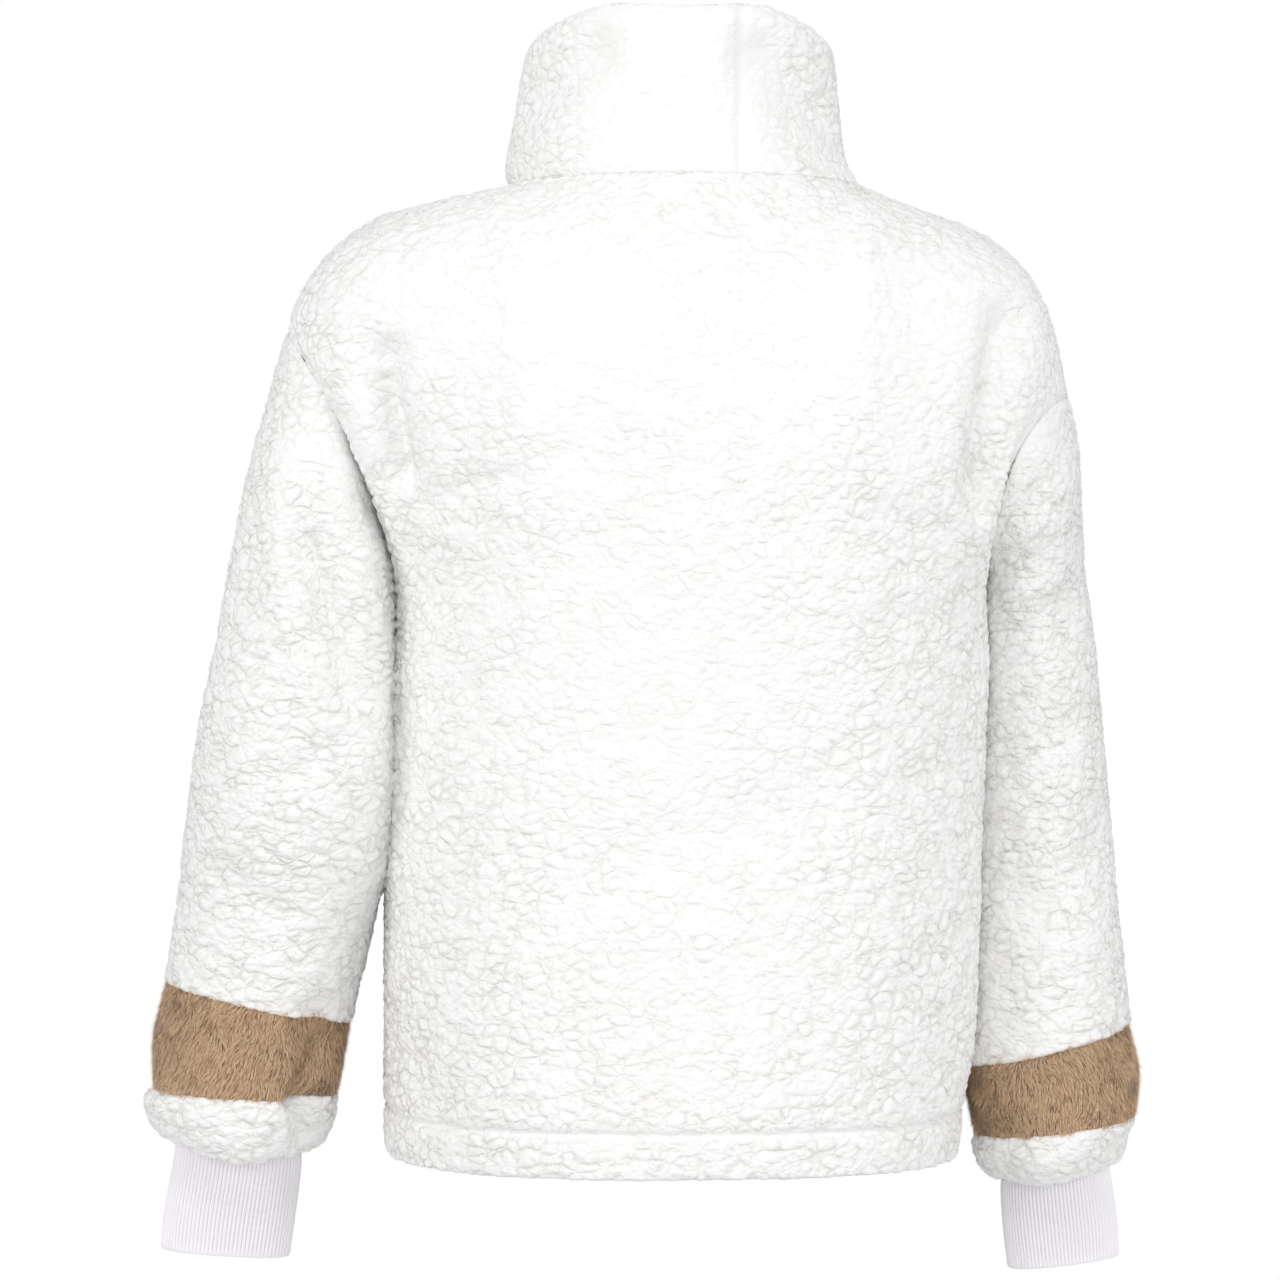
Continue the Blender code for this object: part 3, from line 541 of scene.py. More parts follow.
def yoke_slopes(facing, across):
    """How a column of the yoke leaves the torso and arrives at the upper edge, as directions with a fullness."""
    z = yoke_base_z(across)
    leaving = YOKE_FULLNESS * unit(torso_point(facing, across, z + 1) - torso_point(facing, across, z - 1))
    turn = neck_turn(facing, np.clip(across, -NECK_SHARE, NECK_SHARE))
    sideways, through, up = INTO_COLLAR
    to_collar = np.stack([-sideways * np.sin(turn), -through * np.cos(turn), np.full_like(turn, up)], axis=-1)
    over_shoulder = np.stack([0 * turn, 0 * turn - facing, 0 * turn + 0.05], axis=-1)
    share = smoothstep(0.08, NECK_SHARE + 0.02, np.abs(across))[..., None]
    return leaving, unit(to_collar * (1 - share) + over_shoulder * share) * (1.0 + SHOULDER_FULLNESS * share)


def bare_yoke(facing, across, up):
    base = torso_point(facing, across, yoke_base_z(across))
    top = top_edge(facing, across)
    leaving, arriving = yoke_slopes(facing, across)
    reach = np.linalg.norm(top - base, axis=-1, keepdims=True)
    t = up[..., None]
    rise = t * t * (3 - 2 * t)
    bend = leaving * t * (1 - t) ** 2 - arriving * t * t * (1 - t)
    return base * (1 - rise) + top * rise + bend * reach


def yoke_point(facing, across, up):
    """A point above the underarm, pulled at its outer ends onto the armhole seams."""
    points = bare_yoke(facing, across, up)
    turn = math.pi * (1 - up) if facing == BACK else math.pi * (1 + up)
    for sign, armhole in ((1, LEFT_ARMHOLE), (-1, RIGHT_ARMHOLE)):
        miss = armhole_point(armhole, sign, turn) - bare_yoke(facing, np.full_like(up, sign), up)
        pull = np.clip(sign * across, 0, 1) ** ARMHOLE_PULL
        points = points + miss * pull[..., None]
    return points


def relaxed(grid, first):
    """The yoke with its inner points evened out, in turns that shrink it and swell it again."""
    for step in [0.5, -0.52] * YOKE_SMOOTHING:
        middle = (grid[:-2, 1:-1] + grid[2:, 1:-1] + grid[1:-1, :-2] + grid[1:-1, 2:]) / 4
        grid[first:-1, 1:-1] += step * (middle - grid[1:-1, 1:-1])[first - 1 :]
    return grid


def panel_columns():
    """Columns from the right side seam to the left one, closer together towards the armholes."""
    neck = np.linspace(0, NECK_SHARE, NECK_STEPS + 1)
    t = np.linspace(0, 1, SHOULDER_STEPS + 1)[1:]
    shoulder = NECK_SHARE + (1 - NECK_SHARE) * (1 - (1 - t) ** 1.45)
    half = np.concatenate([neck, shoulder])
    return np.concatenate([-half[:0:-1], half])


def torso_share_rows():
    """Heights from the hem to the yoke as shares, with rows close together at the hem's stitching."""
    stitch = HEM_STITCH_RISE / (LEFT_ARMHOLE.under_z - YOKE_DROP - HEM_Z)
    hem = np.array([0, 0.25, 0.72, 1.0, 1.3]) * stitch
    return np.concatenate([hem, np.linspace(hem[-1], 1, LOWER_ROWS - 3)[1:]])


def panel_grid(facing):
    across = panel_columns()
    rows = []
    for share in torso_share_rows():
        z = HEM_Z + (yoke_base_z(across) - HEM_Z) * share
        rows.append(torso_point(facing, across, z))
    for up in np.linspace(0, 1, YOKE_ROWS + 1)[1:]:
        rows.append(yoke_point(facing, across, np.full_like(across, up)))
    return relaxed(np.array(rows), len(torso_share_rows()) - 1)


def arm_turns():
    return np.arange(2 * YOKE_ROWS) * math.pi / YOKE_ROWS


def arm_rings(armhole, sign, rings):
    """The armhole seam and each ring of the table, as points round the arm."""
    turns = arm_turns()
    out = rounded(np.cos(turns), ARM_POWER)
    back = rounded(np.sin(turns), ARM_POWER)
    found = [armhole_point(armhole, sign, turns)]
    for ring in rings:
        x = (ring.out_x + ring.in_x) / 2 + (ring.out_x - ring.in_x) / 2 * out
        y = (ring.back + ring.front) / 2 + (ring.back - ring.front) / 2 * back
        z = (ring.out_z + ring.in_z) / 2 + (ring.out_z - ring.in_z) / 2 * out
        found.append(np.stack([x, y, z], axis=-1))
    return np.array(found)


def arm_grid(armhole, sign, rings):
    """The whole arm from the armhole to the cuff, and the rows at which its seams lie."""
    keys = arm_rings(armhole, sign, rings)
    stops = [0, 0.3]
    for key in range(1, len(keys)):
        steps = 2 if key <= BAND_TOP else 1
        stops += [key - 1 + step / steps for step in range(1, steps + 1)]
    stops = np.unique(np.round(stops + [BAND_TOP + 0.75, BAND_TOP + 1.25, BAND_FOOT + 0.7, BAND_FOOT + 1.4], 6))
    grid = spline(np.arange(len(keys)), keys, stops)
    seams = [int(np.argmin(np.abs(stops - at))) for at in (0, BAND_TOP + 1, BAND_FOOT + 1, len(keys) - 1)]
    return grid, seams


def collar_grid():
    neck = np.linspace(0, math.pi / 2, NECK_STEPS + 1)
    turns = np.concatenate([neck[:-1] + quarter * math.pi / 2 for quarter in range(4)])
    return np.array([neck_point(turns, np.full_like(turns, level)) for level in COLLAR_LEVELS])


def face_normals(grid, closed):
    """The normals of a grid's quads, each as long as twice the quad's area."""
    rolled = np.concatenate([grid, grid[:, :1]], axis=1) if closed else grid
    a, b, c, d = rolled[:-1, :-1], rolled[:-1, 1:], rolled[1:, 1:], rolled[1:, :-1]
    return np.cross(c - a, d - b)


def outward_sign(grid, closed):
    """1 where the grid's quads already face away from its rows' middles, and -1 where they don't."""
    rolled = np.concatenate([grid, grid[:, :1]], axis=1) if closed else grid
    middle = (rolled[:-1, :-1] + rolled[1:, 1:]) / 2
    axis = grid.mean(axis=1)[:-1, None] if closed else middle * [0, 0, 1]
    return 1 if (face_normals(grid, closed) * (middle - axis)).sum() > 0 else -1


def shared_normals(grids):
    """Normals of several grids that meet at seams. A seam's points get the sum of both sides."""
    sums = {}
    for grid, closed in grids:
        normals = face_normals(grid, closed) * outward_sign(grid, closed)
        rows, columns = grid.shape[:2]
        for (i, j), _ in np.ndenumerate(normals[..., 0]):
            for corner in ((i, j), (i, (j + 1) % columns), (i + 1, j), (i + 1, (j + 1) % columns)):
                key = tuple(np.round(grid[corner], 3))
                sums[key] = sums.get(key, 0) + normals[i, j]
    return [unit(np.array([[sums[tuple(np.round(p, 3))] for p in row] for row in grid])) for grid, _ in grids]


def fold_offset(points, normals, folds):
    """How far the folds push each point inwards."""
    offset = np.zeros(points.shape[:-1])
    for fold in folds:
        facing = smoothstep(0.15, 0.7, normals[..., 1] * fold.facing)
        offset += fold.depth * nearness(points, *fold[:5]) * facing
    return offset


def nearness(points, start_x, start_z, end_x, end_z, width):
    """1 on a line seen from behind, and less and less away from it."""
    start, run = np.array([start_x, start_z], float), np.array([end_x - start_x, end_z - start_z], float)
    away = points[..., [0, 2]] - start
    along = np.clip(away @ run / (run @ run), 0, 1)
    apart = np.linalg.norm(away - along[..., None] * run, axis=-1)
    return np.exp(-((apart / width) ** 2))


def fade_at_seams(grid):
    """0 on a grid's first and last rows, which other pieces share, and 1 inside it."""
    fade = np.ones(grid.shape[:2])
    fade[0] = fade[-1] = 0
    return fade


def set_armhole_normals(normals):
    """The two panels and the sleeve share these at the armhole seam, row by row."""
    back, front, left, right, _ = normals
    turns = arm_turns()
    first = len(torso_share_rows()) - 1
    for sign, armhole, arm, column in ((1, LEFT_ARMHOLE, left, -1), (-1, RIGHT_ARMHOLE, right, 0)):
        arm[0] = armhole_normal(armhole, sign, turns)
        back[first:, column] = arm[0][YOKE_ROWS::-1]
        front[first:, column] = np.concatenate([arm[0][YOKE_ROWS:], arm[0][:1]])


def steps_along(lengths, step):
    """Places along a grid that cut each of its stretches into about equal steps."""
    steps = np.broadcast_to(step, len(lengths))
    stops = [0.0]
    for i, (length, size) in enumerate(zip(lengths, steps)):
        count = max(1, round(length / size))
        stops += [i + (k + 1) / count for k in range(count)]
    return np.array(stops)


def sampled(values, rows, columns, closed):
    """A grid's values at finer rows and columns, along smooth curves."""
    fine = np.moveaxis(spline(np.arange(len(values)), values, rows), 1, 0)
    if closed:
        fine, columns = np.concatenate([fine[-2:], fine, fine[:3]]), columns + 2
    return np.moveaxis(spline(np.arange(len(fine)), fine, columns), 0, 1)


Cloth = namedtuple("Cloth", "points normals rows columns closed")


def refined(grid, plain_normals, creased_normals, folds, step, closed, top=None):
    """A fine grid of a form: its smooth points with every fold pressed in, and where the walls are measured."""
    down = np.linalg.norm(np.diff(grid, axis=0), axis=-1).mean(axis=1)
    around = np.concatenate([grid, grid[:, :1]], axis=1) if closed else grid
    across = np.linalg.norm(np.diff(around, axis=1), axis=-1).mean(axis=0)
    rows, columns = steps_along(down, step), steps_along(across, np.max(step) if np.ndim(step) else step)
    columns = columns[:-1] if closed else columns
    points = sampled(grid, rows, columns, closed)
    if top is not None:
        reach = np.clip(rows - (len(grid) - 2), 0, 1)[:, None, None]
        points += (top(columns) - points[-1]) * smoothstep(0, 1, reach)
    normals = unit(sampled(plain_normals, rows, columns, closed))
    fade = np.minimum(rows, len(grid) - 1 - rows).clip(0, 1)[:, None]
    points -= normals * (fold_offset(points, normals, folds) * fade)[..., None]
    return Cloth(points, unit(sampled(creased_normals, rows, columns, closed)), rows, columns, closed)


def cut(cloth, first, last):
    """The stretch of a cloth between two rows of its form's own grid."""
    keep = (cloth.rows >= first - 1e-6) & (cloth.rows <= last + 1e-6)
    return cloth._replace(points=cloth.points[keep], normals=cloth.normals[keep], rows=cloth.rows[keep])


def row_distances(points):
    """How far each point is along the cloth from the first row and from the last."""
    lengths = np.linalg.norm(np.diff(points, axis=0), axis=-1)
    from_foot = np.concatenate([np.zeros((1, points.shape[1])), np.cumsum(lengths, axis=0)])
    return from_foot, from_foot[-1] - from_foot


def column_distances(points):
    from_side, to_side = row_distances(np.moveaxis(points, 0, 1))
    return from_side.T, to_side.T


def seam_dip(distance):
    """How deep the cloth is drawn in beside a seam."""
    crease = SEAM_CREASE_SHARE * np.exp(-((distance / SEAM_CREASE_WIDTH) ** 2))
    return SEAM_DIP * (crease + SEAM_HOLLOW_SHARE * np.exp(-distance / SEAM_HOLLOW_REACH))


def pile_near(distance):
    """The pile is trodden down at a seam, and full a little way off."""
    return SEAM_PILE + (1 - SEAM_PILE) * smoothstep(0, SEAM_PILE_REACH, distance)


def flattened(points, normals):
    """How high the pile stands at each point, as a share."""
    share = np.ones(points.shape[:2])
    for patch in FLAT_PATCHES:
        apart = np.linalg.norm(points[..., [0, 2]] - [patch.x, patch.z], axis=-1)
        facing = smoothstep(0, 0.5, normals[..., 1] * patch.facing)
        share -= patch.share * np.exp(-((apart / patch.radius) ** 2)) * facing
    return share.clip(0.2, 1)


Strip = namedtuple("Strip", "points loft inside")


def strip(points, loft, inside):
    shape = points.shape[:2]
    return Strip(points, np.broadcast_to(loft, shape).astype(float), np.broadcast_to(inside, shape).astype(float))


def edge_roll(edge, next_row, normals, thickness, inside_loft):
    """Rows that carry the cloth round an open edge, from its outside to its inside."""
    beyond = unit(edge - next_row)
    radius = thickness / 2
    angles = np.linspace(0, math.pi, 2 + round(math.pi * radius / ROLL_STEP))[1:-1]
    rows = [edge - normals * radius * (1 - math.cos(a)) + beyond * radius * math.sin(a) for a in angles]
    share = np.linspace(0, 1, len(rows))[:, None]
    return strip(np.array(rows), 1 - share + inside_loft * share, share**2)


def placed(name, data):
    """A new object, linked into the scene."""
    thing = bpy.data.objects.new(name, data)
    bpy.context.scene.collection.objects.link(thing)
    return thing


def cloth_mesh(name, strips, closed, caps=()):
    """A closed mesh over strips of rows that follow each other all round a wall."""
    points = np.concatenate([s.points for s in strips])
    rows, columns = points.shape[:2]
    here = np.arange(rows * columns).reshape(rows, columns)
    above = np.roll(here, -1, axis=0)
    if closed:
        corners = here, np.roll(here, -1, axis=1), np.roll(above, -1, axis=1), above
    else:
        corners = here[:, :-1], here[:, 1:], above[:, 1:], above[:, :-1]
    faces = np.stack(corners, axis=-1).reshape(-1, 4)
    flat = points.reshape(-1, 3)
    a, b, c, d = (flat[faces[:, k]] for k in range(4))
    volume = (np.einsum("ij,ij->i", a, np.cross(b, c)) + np.einsum("ij,ij->i", a, np.cross(c, d))).sum()
    faces = faces.tolist()
    for cap in caps:
        faces.append([here[i, 0] for i in cap])
        faces.append([here[i, -1] for i in reversed(cap)])
    if volume < 0:
        faces = [face[::-1] for face in faces]
    mesh = bpy.data.meshes.new(name)
    mesh.from_pydata((flat * MM).tolist(), [], faces)
    for label in ("loft", "inside"):
        values = np.concatenate([getattr(s, label) for s in strips]).astype(np.float32)
        mesh.attributes.new(label, "FLOAT", "POINT").data.foreach_set("value", values.ravel())
    mesh.shade_smooth()
    return placed(name, mesh)


def inner_rows(count, every=INNER_EVERY):
    """Which of the outside's rows the plain inside keeps, from the last to the first."""
    return sorted({0, count - 1, *range(0, count, every)}, reverse=True)


def tube_wall(
    name, cloth, thickness, loft, dips=0, foot="seam", head="seam", foot_share=1, inner_loft=0, every=INNER_EVERY
):
    """A tube of cloth. Its ends are seams, or rolled edges that show."""
    points, normals = cloth.points, cloth.normals
    from_foot, from_head = row_distances(points)
    thickness = np.broadcast_to(thickness, len(points))[:, None, None]
    depth = np.broadcast_to(dips, points.shape[:2]).astype(float)
    shift = np.zeros_like(points)
    for kind, distance, edge, next_row in ((foot, from_foot, 0, 1), (head, from_head, -1, -2)):
        if kind == "seam":
            depth += seam_dip(distance) * (foot_share if edge == 0 else 1)
            loft = loft * pile_near(distance)
        else:
            inward = unit(points[next_row] - points[edge])[None]
            pull = -OVERLAP if kind == "overlap" else thickness[edge] / 2
            shift += inward * (pull * np.exp(-distance / EDGE_REACH)[..., None])
    outer = points - normals * depth[..., None] + shift
    inner = (points - normals * thickness + shift)[inner_rows(len(points), every)]
    strips = [strip(outer, loft, 0)]
    if head != "seam":
        strips.append(edge_roll(outer[-1], outer[-2], normals[-1], thickness.item(-1), inner_loft))
    strips.append(strip(inner, inner_loft, 1 if inner_loft == 0 else 0.5))
    if foot == "roll":
        under = edge_roll(outer[0], outer[1], normals[0], thickness.item(0), inner_loft)
        strips.append(Strip(*(rows[::-1] for rows in under)))
    return cloth_mesh(name, strips, True)


def stretch_at(values, low, high):
    """1 between two rows or columns, and 0 a little way off them."""
    return np.clip(1 - np.maximum(low - values, values - high), 0, 1)


def hem_profile(cloth, from_hem):
    """The turned-up hem: full below its stitching, which draws a groove."""
    stitching = from_hem[np.argmin(np.abs(cloth.rows - HEM_STITCH_ROW))]
    groove = np.exp(-(((from_hem - stitching) / HEM_GROOVE_WIDTH) ** 2))
    fullness = np.sin(math.pi * np.clip(from_hem / stitching, 0, 1)) * HEM_FULLNESS
    return HEM_GROOVE * groove - fullness, 1 - HEM_GROOVE_PILE * groove


def panel_piece(name, cloth):
    """A back or a front, with side, armhole, shoulder and neck seams and a rolled hem."""
    points, normals = cloth.points, cloth.normals
    from_hem, from_top = row_distances(points)
    from_right, from_left = column_distances(points)
    from_side = np.minimum(from_right, from_left)
    turned = stretch_at(cloth.rows, UNDERARM_ROW - 1, UNDERARM_ROW + 2)[:, None]
    groove, hem_loft = hem_profile(cloth, from_hem)
    depth = np.maximum(seam_dip(from_top), seam_dip(from_side) * (1 - turned)) + groove
    loft = pile_near(from_top) * pile_near(from_side) * hem_loft * flattened(points, normals)
    shift = unit(points[1] - points[0])[None] * (FLEECE_WALL / 2 * np.exp(-from_hem / EDGE_REACH))[..., None]
    outer = points - normals * depth[..., None] + shift
    kept = inner_rows(len(points))
    inner = (points - normals * FLEECE_WALL + shift)[kept]
    roll = edge_roll(outer[0], outer[1], normals[0], FLEECE_WALL, 0)
    roll = Strip(*(rows[::-1] for rows in roll))
    rows, last = len(points), len(points) + len(kept) - 1
    caps = [[*range(kept[k + 1], kept[k] + 1), rows + k, rows + k + 1] for k in range(len(kept) - 1)]
    caps.append([*range(last, last + len(roll.points) + 1), 0])
    return cloth_mesh(name, [strip(outer, loft, 0), strip(inner, 0, 1), roll], False, caps)


def gathered(cloth, from_foot, from_head):
    """Puckers of the sleeve's end, deepest where the band and the cuff draw it in."""
    turn = cloth.columns / (2 * YOKE_ROWS) * 2 * math.pi
    wide, narrow = PUCKER_WAVES
    waves = np.sin(wide * turn + 0.9 * np.sin(2 * turn)) + 0.6 * np.sin(narrow * turn + 1.7 + 1.3 * np.sin(3 * turn))
    near = np.exp(-from_foot / PUCKER_REACH_DOWN) + 1.3 * np.exp(-from_head / PUCKER_REACH_UP)
    return (PUCKER_DEPTH * (0.5 + 0.32 * waves))[None] * near


def sagging(side, points, share):
    """The sleeve's end hangs lower in its middle and is drawn up beside it."""
    places, lifts = zip(*SAGS[side])
    lift = np.interp(points[..., 0] * (1 if side == "left" else -1), places, lifts)
    return lift * (smoothstep(0, 0.4, share) * (1 - 0.5 * smoothstep(0.6, 1, share)))[:, None]


def arm_pieces(side, cloth, seams):
    """The sleeve, the fur band's backing and the gathered end above the cuff."""
    armhole, top, foot, end = seams
    sleeve, band, tail = cut(cloth, armhole, top), cut(cloth, top, foot), cut(cloth, foot, end)
    loft = flattened(sleeve.points, sleeve.normals)
    foot_share = 1 - stretch_at(cloth.columns, YOKE_ROWS - 2, YOKE_ROWS + 2)
    share = (tail.rows - foot) / (end - foot)
    tail.points[..., 2] += sagging(side, tail.points, share)
    puckers = gathered(tail, *row_distances(tail.points))
    thickness = FLEECE_WALL + (GATHER_WALL - FLEECE_WALL) * share
    walls = {
        "sleeve": dict(cloth=sleeve, thickness=FLEECE_WALL, loft=loft, head="overlap", foot_share=foot_share),
        "fur_band": dict(cloth=band, thickness=FUR_WALL, loft=1, dips=FUR_PILE),
        "sleeve_end": dict(cloth=tail, thickness=thickness, loft=1 - 0.5 * share[:, None] ** 4, dips=puckers),
    }
    return {f"{name}_{side}": tube_wall(f"{name}_{side}_cloth", **wall) for name, wall in walls.items()}


def collar_piece(cloth):
    """The funnel collar: doubled fleece, with its joining seam right of the middle at the back."""
    behind = smoothstep(0, 0.3, cloth.normals[..., 1])
    beside = np.exp(-(((np.abs(cloth.points[..., 0]) - COLLAR_LIFT_X) / COLLAR_LIFT_WIDTH) ** 2))
    upper = smoothstep(0.3, 1, cloth.rows / cloth.rows[-1])[:, None]
    cloth.points[..., 2] += COLLAR_LIFT * beside * upper
    apart = (cloth.points[..., 0] - COLLAR_SEAM_X) / COLLAR_SEAM_WIDTH
    seam = np.exp(-((apart * 2.6) ** 2)) * behind
    dips = COLLAR_SEAM_DEPTH * (0.45 * np.exp(-(apart**2)) * behind + 0.85 * seam)
    smooth_middle = behind * (1 - smoothstep(*COLLAR_MIDDLE, np.abs(cloth.points[..., 0])))
    loft = (COLLAR_PILE - COLLAR_FLATTER * smooth_middle) * (1 - COLLAR_SEAM_PILE * seam)
    return tube_wall("collar_cloth", cloth, COLLAR_WALL, loft, dips=dips, head="roll", inner_loft=0.7, every=2)


def cuff_rings(side, rows):
    turns = np.arange(RIBS * RIB_COLUMNS) * 2 * math.pi / (RIBS * RIB_COLUMNS)
    out, back = rounded(np.cos(turns), CUFF_POWER), rounded(np.sin(turns), CUFF_POWER)
    sign = 1 if side == "left" else -1
    rings = []
    for row in rows:
        middle_z, tilt = (row.out_z + row.in_z) / 2, (row.out_z - row.in_z) / 2
        x = row.x + sign * row.half_width * out
        rings.append(np.stack([x, row.y + row.half_depth * back, middle_z + tilt * out], axis=-1))
    return spline(np.arange(len(rows)), np.array(rings), np.linspace(0, len(rows) - 1, CUFF_ROWS))


def even_turns(grid):
    """The same rings with their points spread evenly round, so that the ribs are equally wide."""
    even = []
    for ring in grid:
        closed = np.concatenate([ring, ring[:1]])
        reach = np.concatenate([[0], np.cumsum(np.linalg.norm(np.diff(closed, axis=0), axis=1))])
        at = np.arange(len(ring)) / len(ring) * reach[-1]
        even.append(np.stack([np.interp(at, reach, closed[:, k]) for k in range(3)], axis=-1))
    return np.array(even)


def smooth_normals(grid):
    faces = face_normals(grid, True) * outward_sign(grid, True)
    faces = faces + np.roll(faces, 1, axis=1)
    return unit(np.concatenate([faces[:1], faces[:-1] + faces[1:], faces[-1:]]))


def cuff_piece(side, rows):
    """Narrow ribs run down a tube whose foot is a rolled edge."""
    grid = even_turns(cuff_rings(side, rows))[::-1]
    columns = np.arange(grid.shape[1])
    cloth = Cloth(grid, smooth_normals(grid), np.arange(len(grid), dtype=float), columns, True)
    groove = 1 - np.abs(np.cos(math.pi * columns / RIB_COLUMNS)) ** RIB_ROUNDNESS
    from_foot, _ = row_distances(grid)
    dips = RIB_HEIGHT * groove[None] * (0.45 + 0.55 * smoothstep(0, 5, from_foot))
    return tube_wall(f"cuff_{side}_cloth", cloth, RIB_WALL, 1 - groove[None], dips=dips, foot="roll", every=4)


class Wire:
    """A value in a node tree. Arithmetic on it adds Math nodes."""

    def __init__(self, nodes, socket):
        self.nodes, self.socket = nodes, socket

    def maths(self, operation, *values, clamp=False):
        node = self.nodes.add("ShaderNodeMath", dict(enumerate(values)), operation=operation, use_clamp=clamp)
        return Wire(self.nodes, node.outputs[0])

    def __add__(self, other):
        return self.maths("ADD", self, other)

    def __mul__(self, other):
        return self.maths("MULTIPLY", self, other)

    def __sub__(self, other):
        return self.maths("SUBTRACT", self, other)

    def __rsub__(self, other):
        return self.maths("SUBTRACT", other, self)

    def __truediv__(self, other):
        return self.maths("DIVIDE", self, other)

    def __pow__(self, other):
        return self.maths("POWER", self, other)

    def __rtruediv__(self, other):
        return self.maths("DIVIDE", other, self)

    __radd__ = __add__
    __rmul__ = __mul__

    def clamped(self):
        return self.maths("ADD", self, 0, clamp=True)


class Nodes:
    """Adds nodes to a tree and feeds their sockets."""

    def __init__(self, tree):
        self.tree = tree

    def add(self, kind, feeds=(), **settings):
        node = self.tree.nodes.new(kind)
        for name, value in settings.items():
            setattr(node, name, value)
        for name, value in dict(feeds).items():
            if isinstance(value, Wire):
                self.tree.links.new(value.socket, node.inputs[name])
            else:
                node.inputs[name].default_value = value
        return node

    def wire(self, kind, output, feeds=(), **settings):
        return Wire(self, self.add(kind, feeds, **settings).outputs[output])

    def vector(self, operation, *values):
        return self.wire("ShaderNodeVectorMath", "Vector", dict(enumerate(values)), operation=operation)

    def scaled(self, vector, factor):
        return self.wire("ShaderNodeVectorMath", "Vector", {"Vector": vector, "Scale": factor}, operation="SCALE")

    def blend(self, factor, first, second):
        return self.wire("ShaderNodeMix", 2, {0: factor, 6: first, 7: second}, data_type="RGBA")

    def noise(self, place, scale, detail, output="Fac", **more):
        feeds = {"Vector": place, "Scale": scale, "Detail": detail, **more}
        return self.wire("ShaderNodeTexNoise", output, feeds)

    def attribute(self, name, output="Fac"):
        return self.wire("ShaderNodeAttribute", output, attribute_type="GEOMETRY", attribute_name=name)

    def between(self, value, low, high):
        """0 below low, 1 above high and a soft step between them."""
        feeds = {"Value": value, "From Min": low, "From Max": high}
        return self.wire("ShaderNodeMapRange", "Result", feeds, interpolation_type="SMOOTHSTEP")

    def warped(self, position, scale, amount):
        """Places pushed about by soft noise."""
        noise = self.noise(position, scale, 1.5, "Color")
        push = self.scaled(self.vector("SUBTRACT", noise, (0.5, 0.5, 0.5)), amount)
        return self.vector("ADD", position, push)


def geometry_tree(name, inputs):
    """A Geometry Nodes tree with a geometry in and out and named inputs for its sizes."""
    tree = bpy.data.node_groups.new(name, "GeometryNodeTree")
    tree.interface.new_socket("Geometry", in_out="INPUT", socket_type="NodeSocketGeometry")
    tree.interface.new_socket("Geometry", in_out="OUTPUT", socket_type="NodeSocketGeometry")
    for label, kind in inputs.items():
        tree.interface.new_socket(label, in_out="INPUT", socket_type=f"NodeSocket{kind}")
    nodes = Nodes(tree)
    group_in = nodes.add("NodeGroupInput")
    return nodes, {socket.name: Wire(nodes, socket) for socket in group_in.outputs if socket.name}


def finish_tree(nodes, geometry, material):
    real = nodes.wire("GeometryNodeRealizeInstances", "Geometry", {"Geometry": geometry})
    done = nodes.wire("GeometryNodeSetMaterial", "Geometry", {"Geometry": real, "Material": material})
    nodes.add("NodeGroupOutput", {"Geometry": done})
    return nodes.tree


def grown(piece, tree, values):
    """The piece's mesh after a tree has worked on it with the values given by the inputs' names."""
    modifier = piece.modifiers.new(tree.name, "NODES")
    modifier.node_group = tree
    for socket in tree.interface.items_tree:
        if socket.in_out == "INPUT" and socket.name in values:
            modifier[socket.identifier] = values[socket.name]
    graph = bpy.context.evaluated_depsgraph_get()
    mesh = bpy.data.meshes.new_from_object(piece.evaluated_get(graph), preserve_all_data_layers=True, depsgraph=graph)
    piece.modifiers.clear()
    mesh.name = piece.name
    return mesh


def crazed(nodes, place, size, bend):
    """Where the lumps of a size lie, as places counted in lumps, and how deep their cracks are there."""
    bent = nodes.warped(nodes.warped(place, COARSE_BENDS, bend), FINE_BENDS, FINE_BEND_SHARE * bend)
    bent = nodes.vector("DIVIDE", bent, size)
    patchy = nodes.between(nodes.noise(bent, CRACK_CHANGES, 1), 0.3, 0.65)
    return bent, patchy * (1 - LEAST_CRACK) + LEAST_CRACK


def cell_distance(nodes, bent, feature):
    """Distances among the lumps, counted in lumps: from their edges or from their middles."""
    return nodes.wire("ShaderNodeTexVoronoi", "Distance", {"Vector": bent, "Scale": 1}, feature=feature)


def lumps(nodes, bent, strength, crisp=0.0):
    """Rounded lumps parted by cracks: 0 in a deep crack and 1 on the lumps."""
    edge = cell_distance(nodes, bent, "DISTANCE_TO_EDGE")
    hollow = (1 - (edge / LUMP_REACH).clamped()) ** 2 * (1 - crisp)
    if crisp:
        hollow = hollow + (1 - (edge / LINE_REACH).clamped()) * crisp
    return 1 - hollow * strength


def beads(nodes, bent, strength):
    """Small round curls side by side: 1 in their middles, and less between them."""
    return 1 - (cell_distance(nodes, bent, "F1") / BEAD_REACH).clamped() ** 2 * strength


def named(nodes, name):
    return nodes.wire("GeometryNodeInputNamedAttribute", "Attribute", {"Name": name}, data_type="FLOAT")


def stored(nodes, geometry, name, value, kind="FLOAT", domain="POINT"):
    feeds = {"Geometry": geometry, "Name": name, "Value": value}
    return nodes.wire("GeometryNodeStoreNamedAttribute", "Geometry", feeds, data_type=kind, domain=domain)


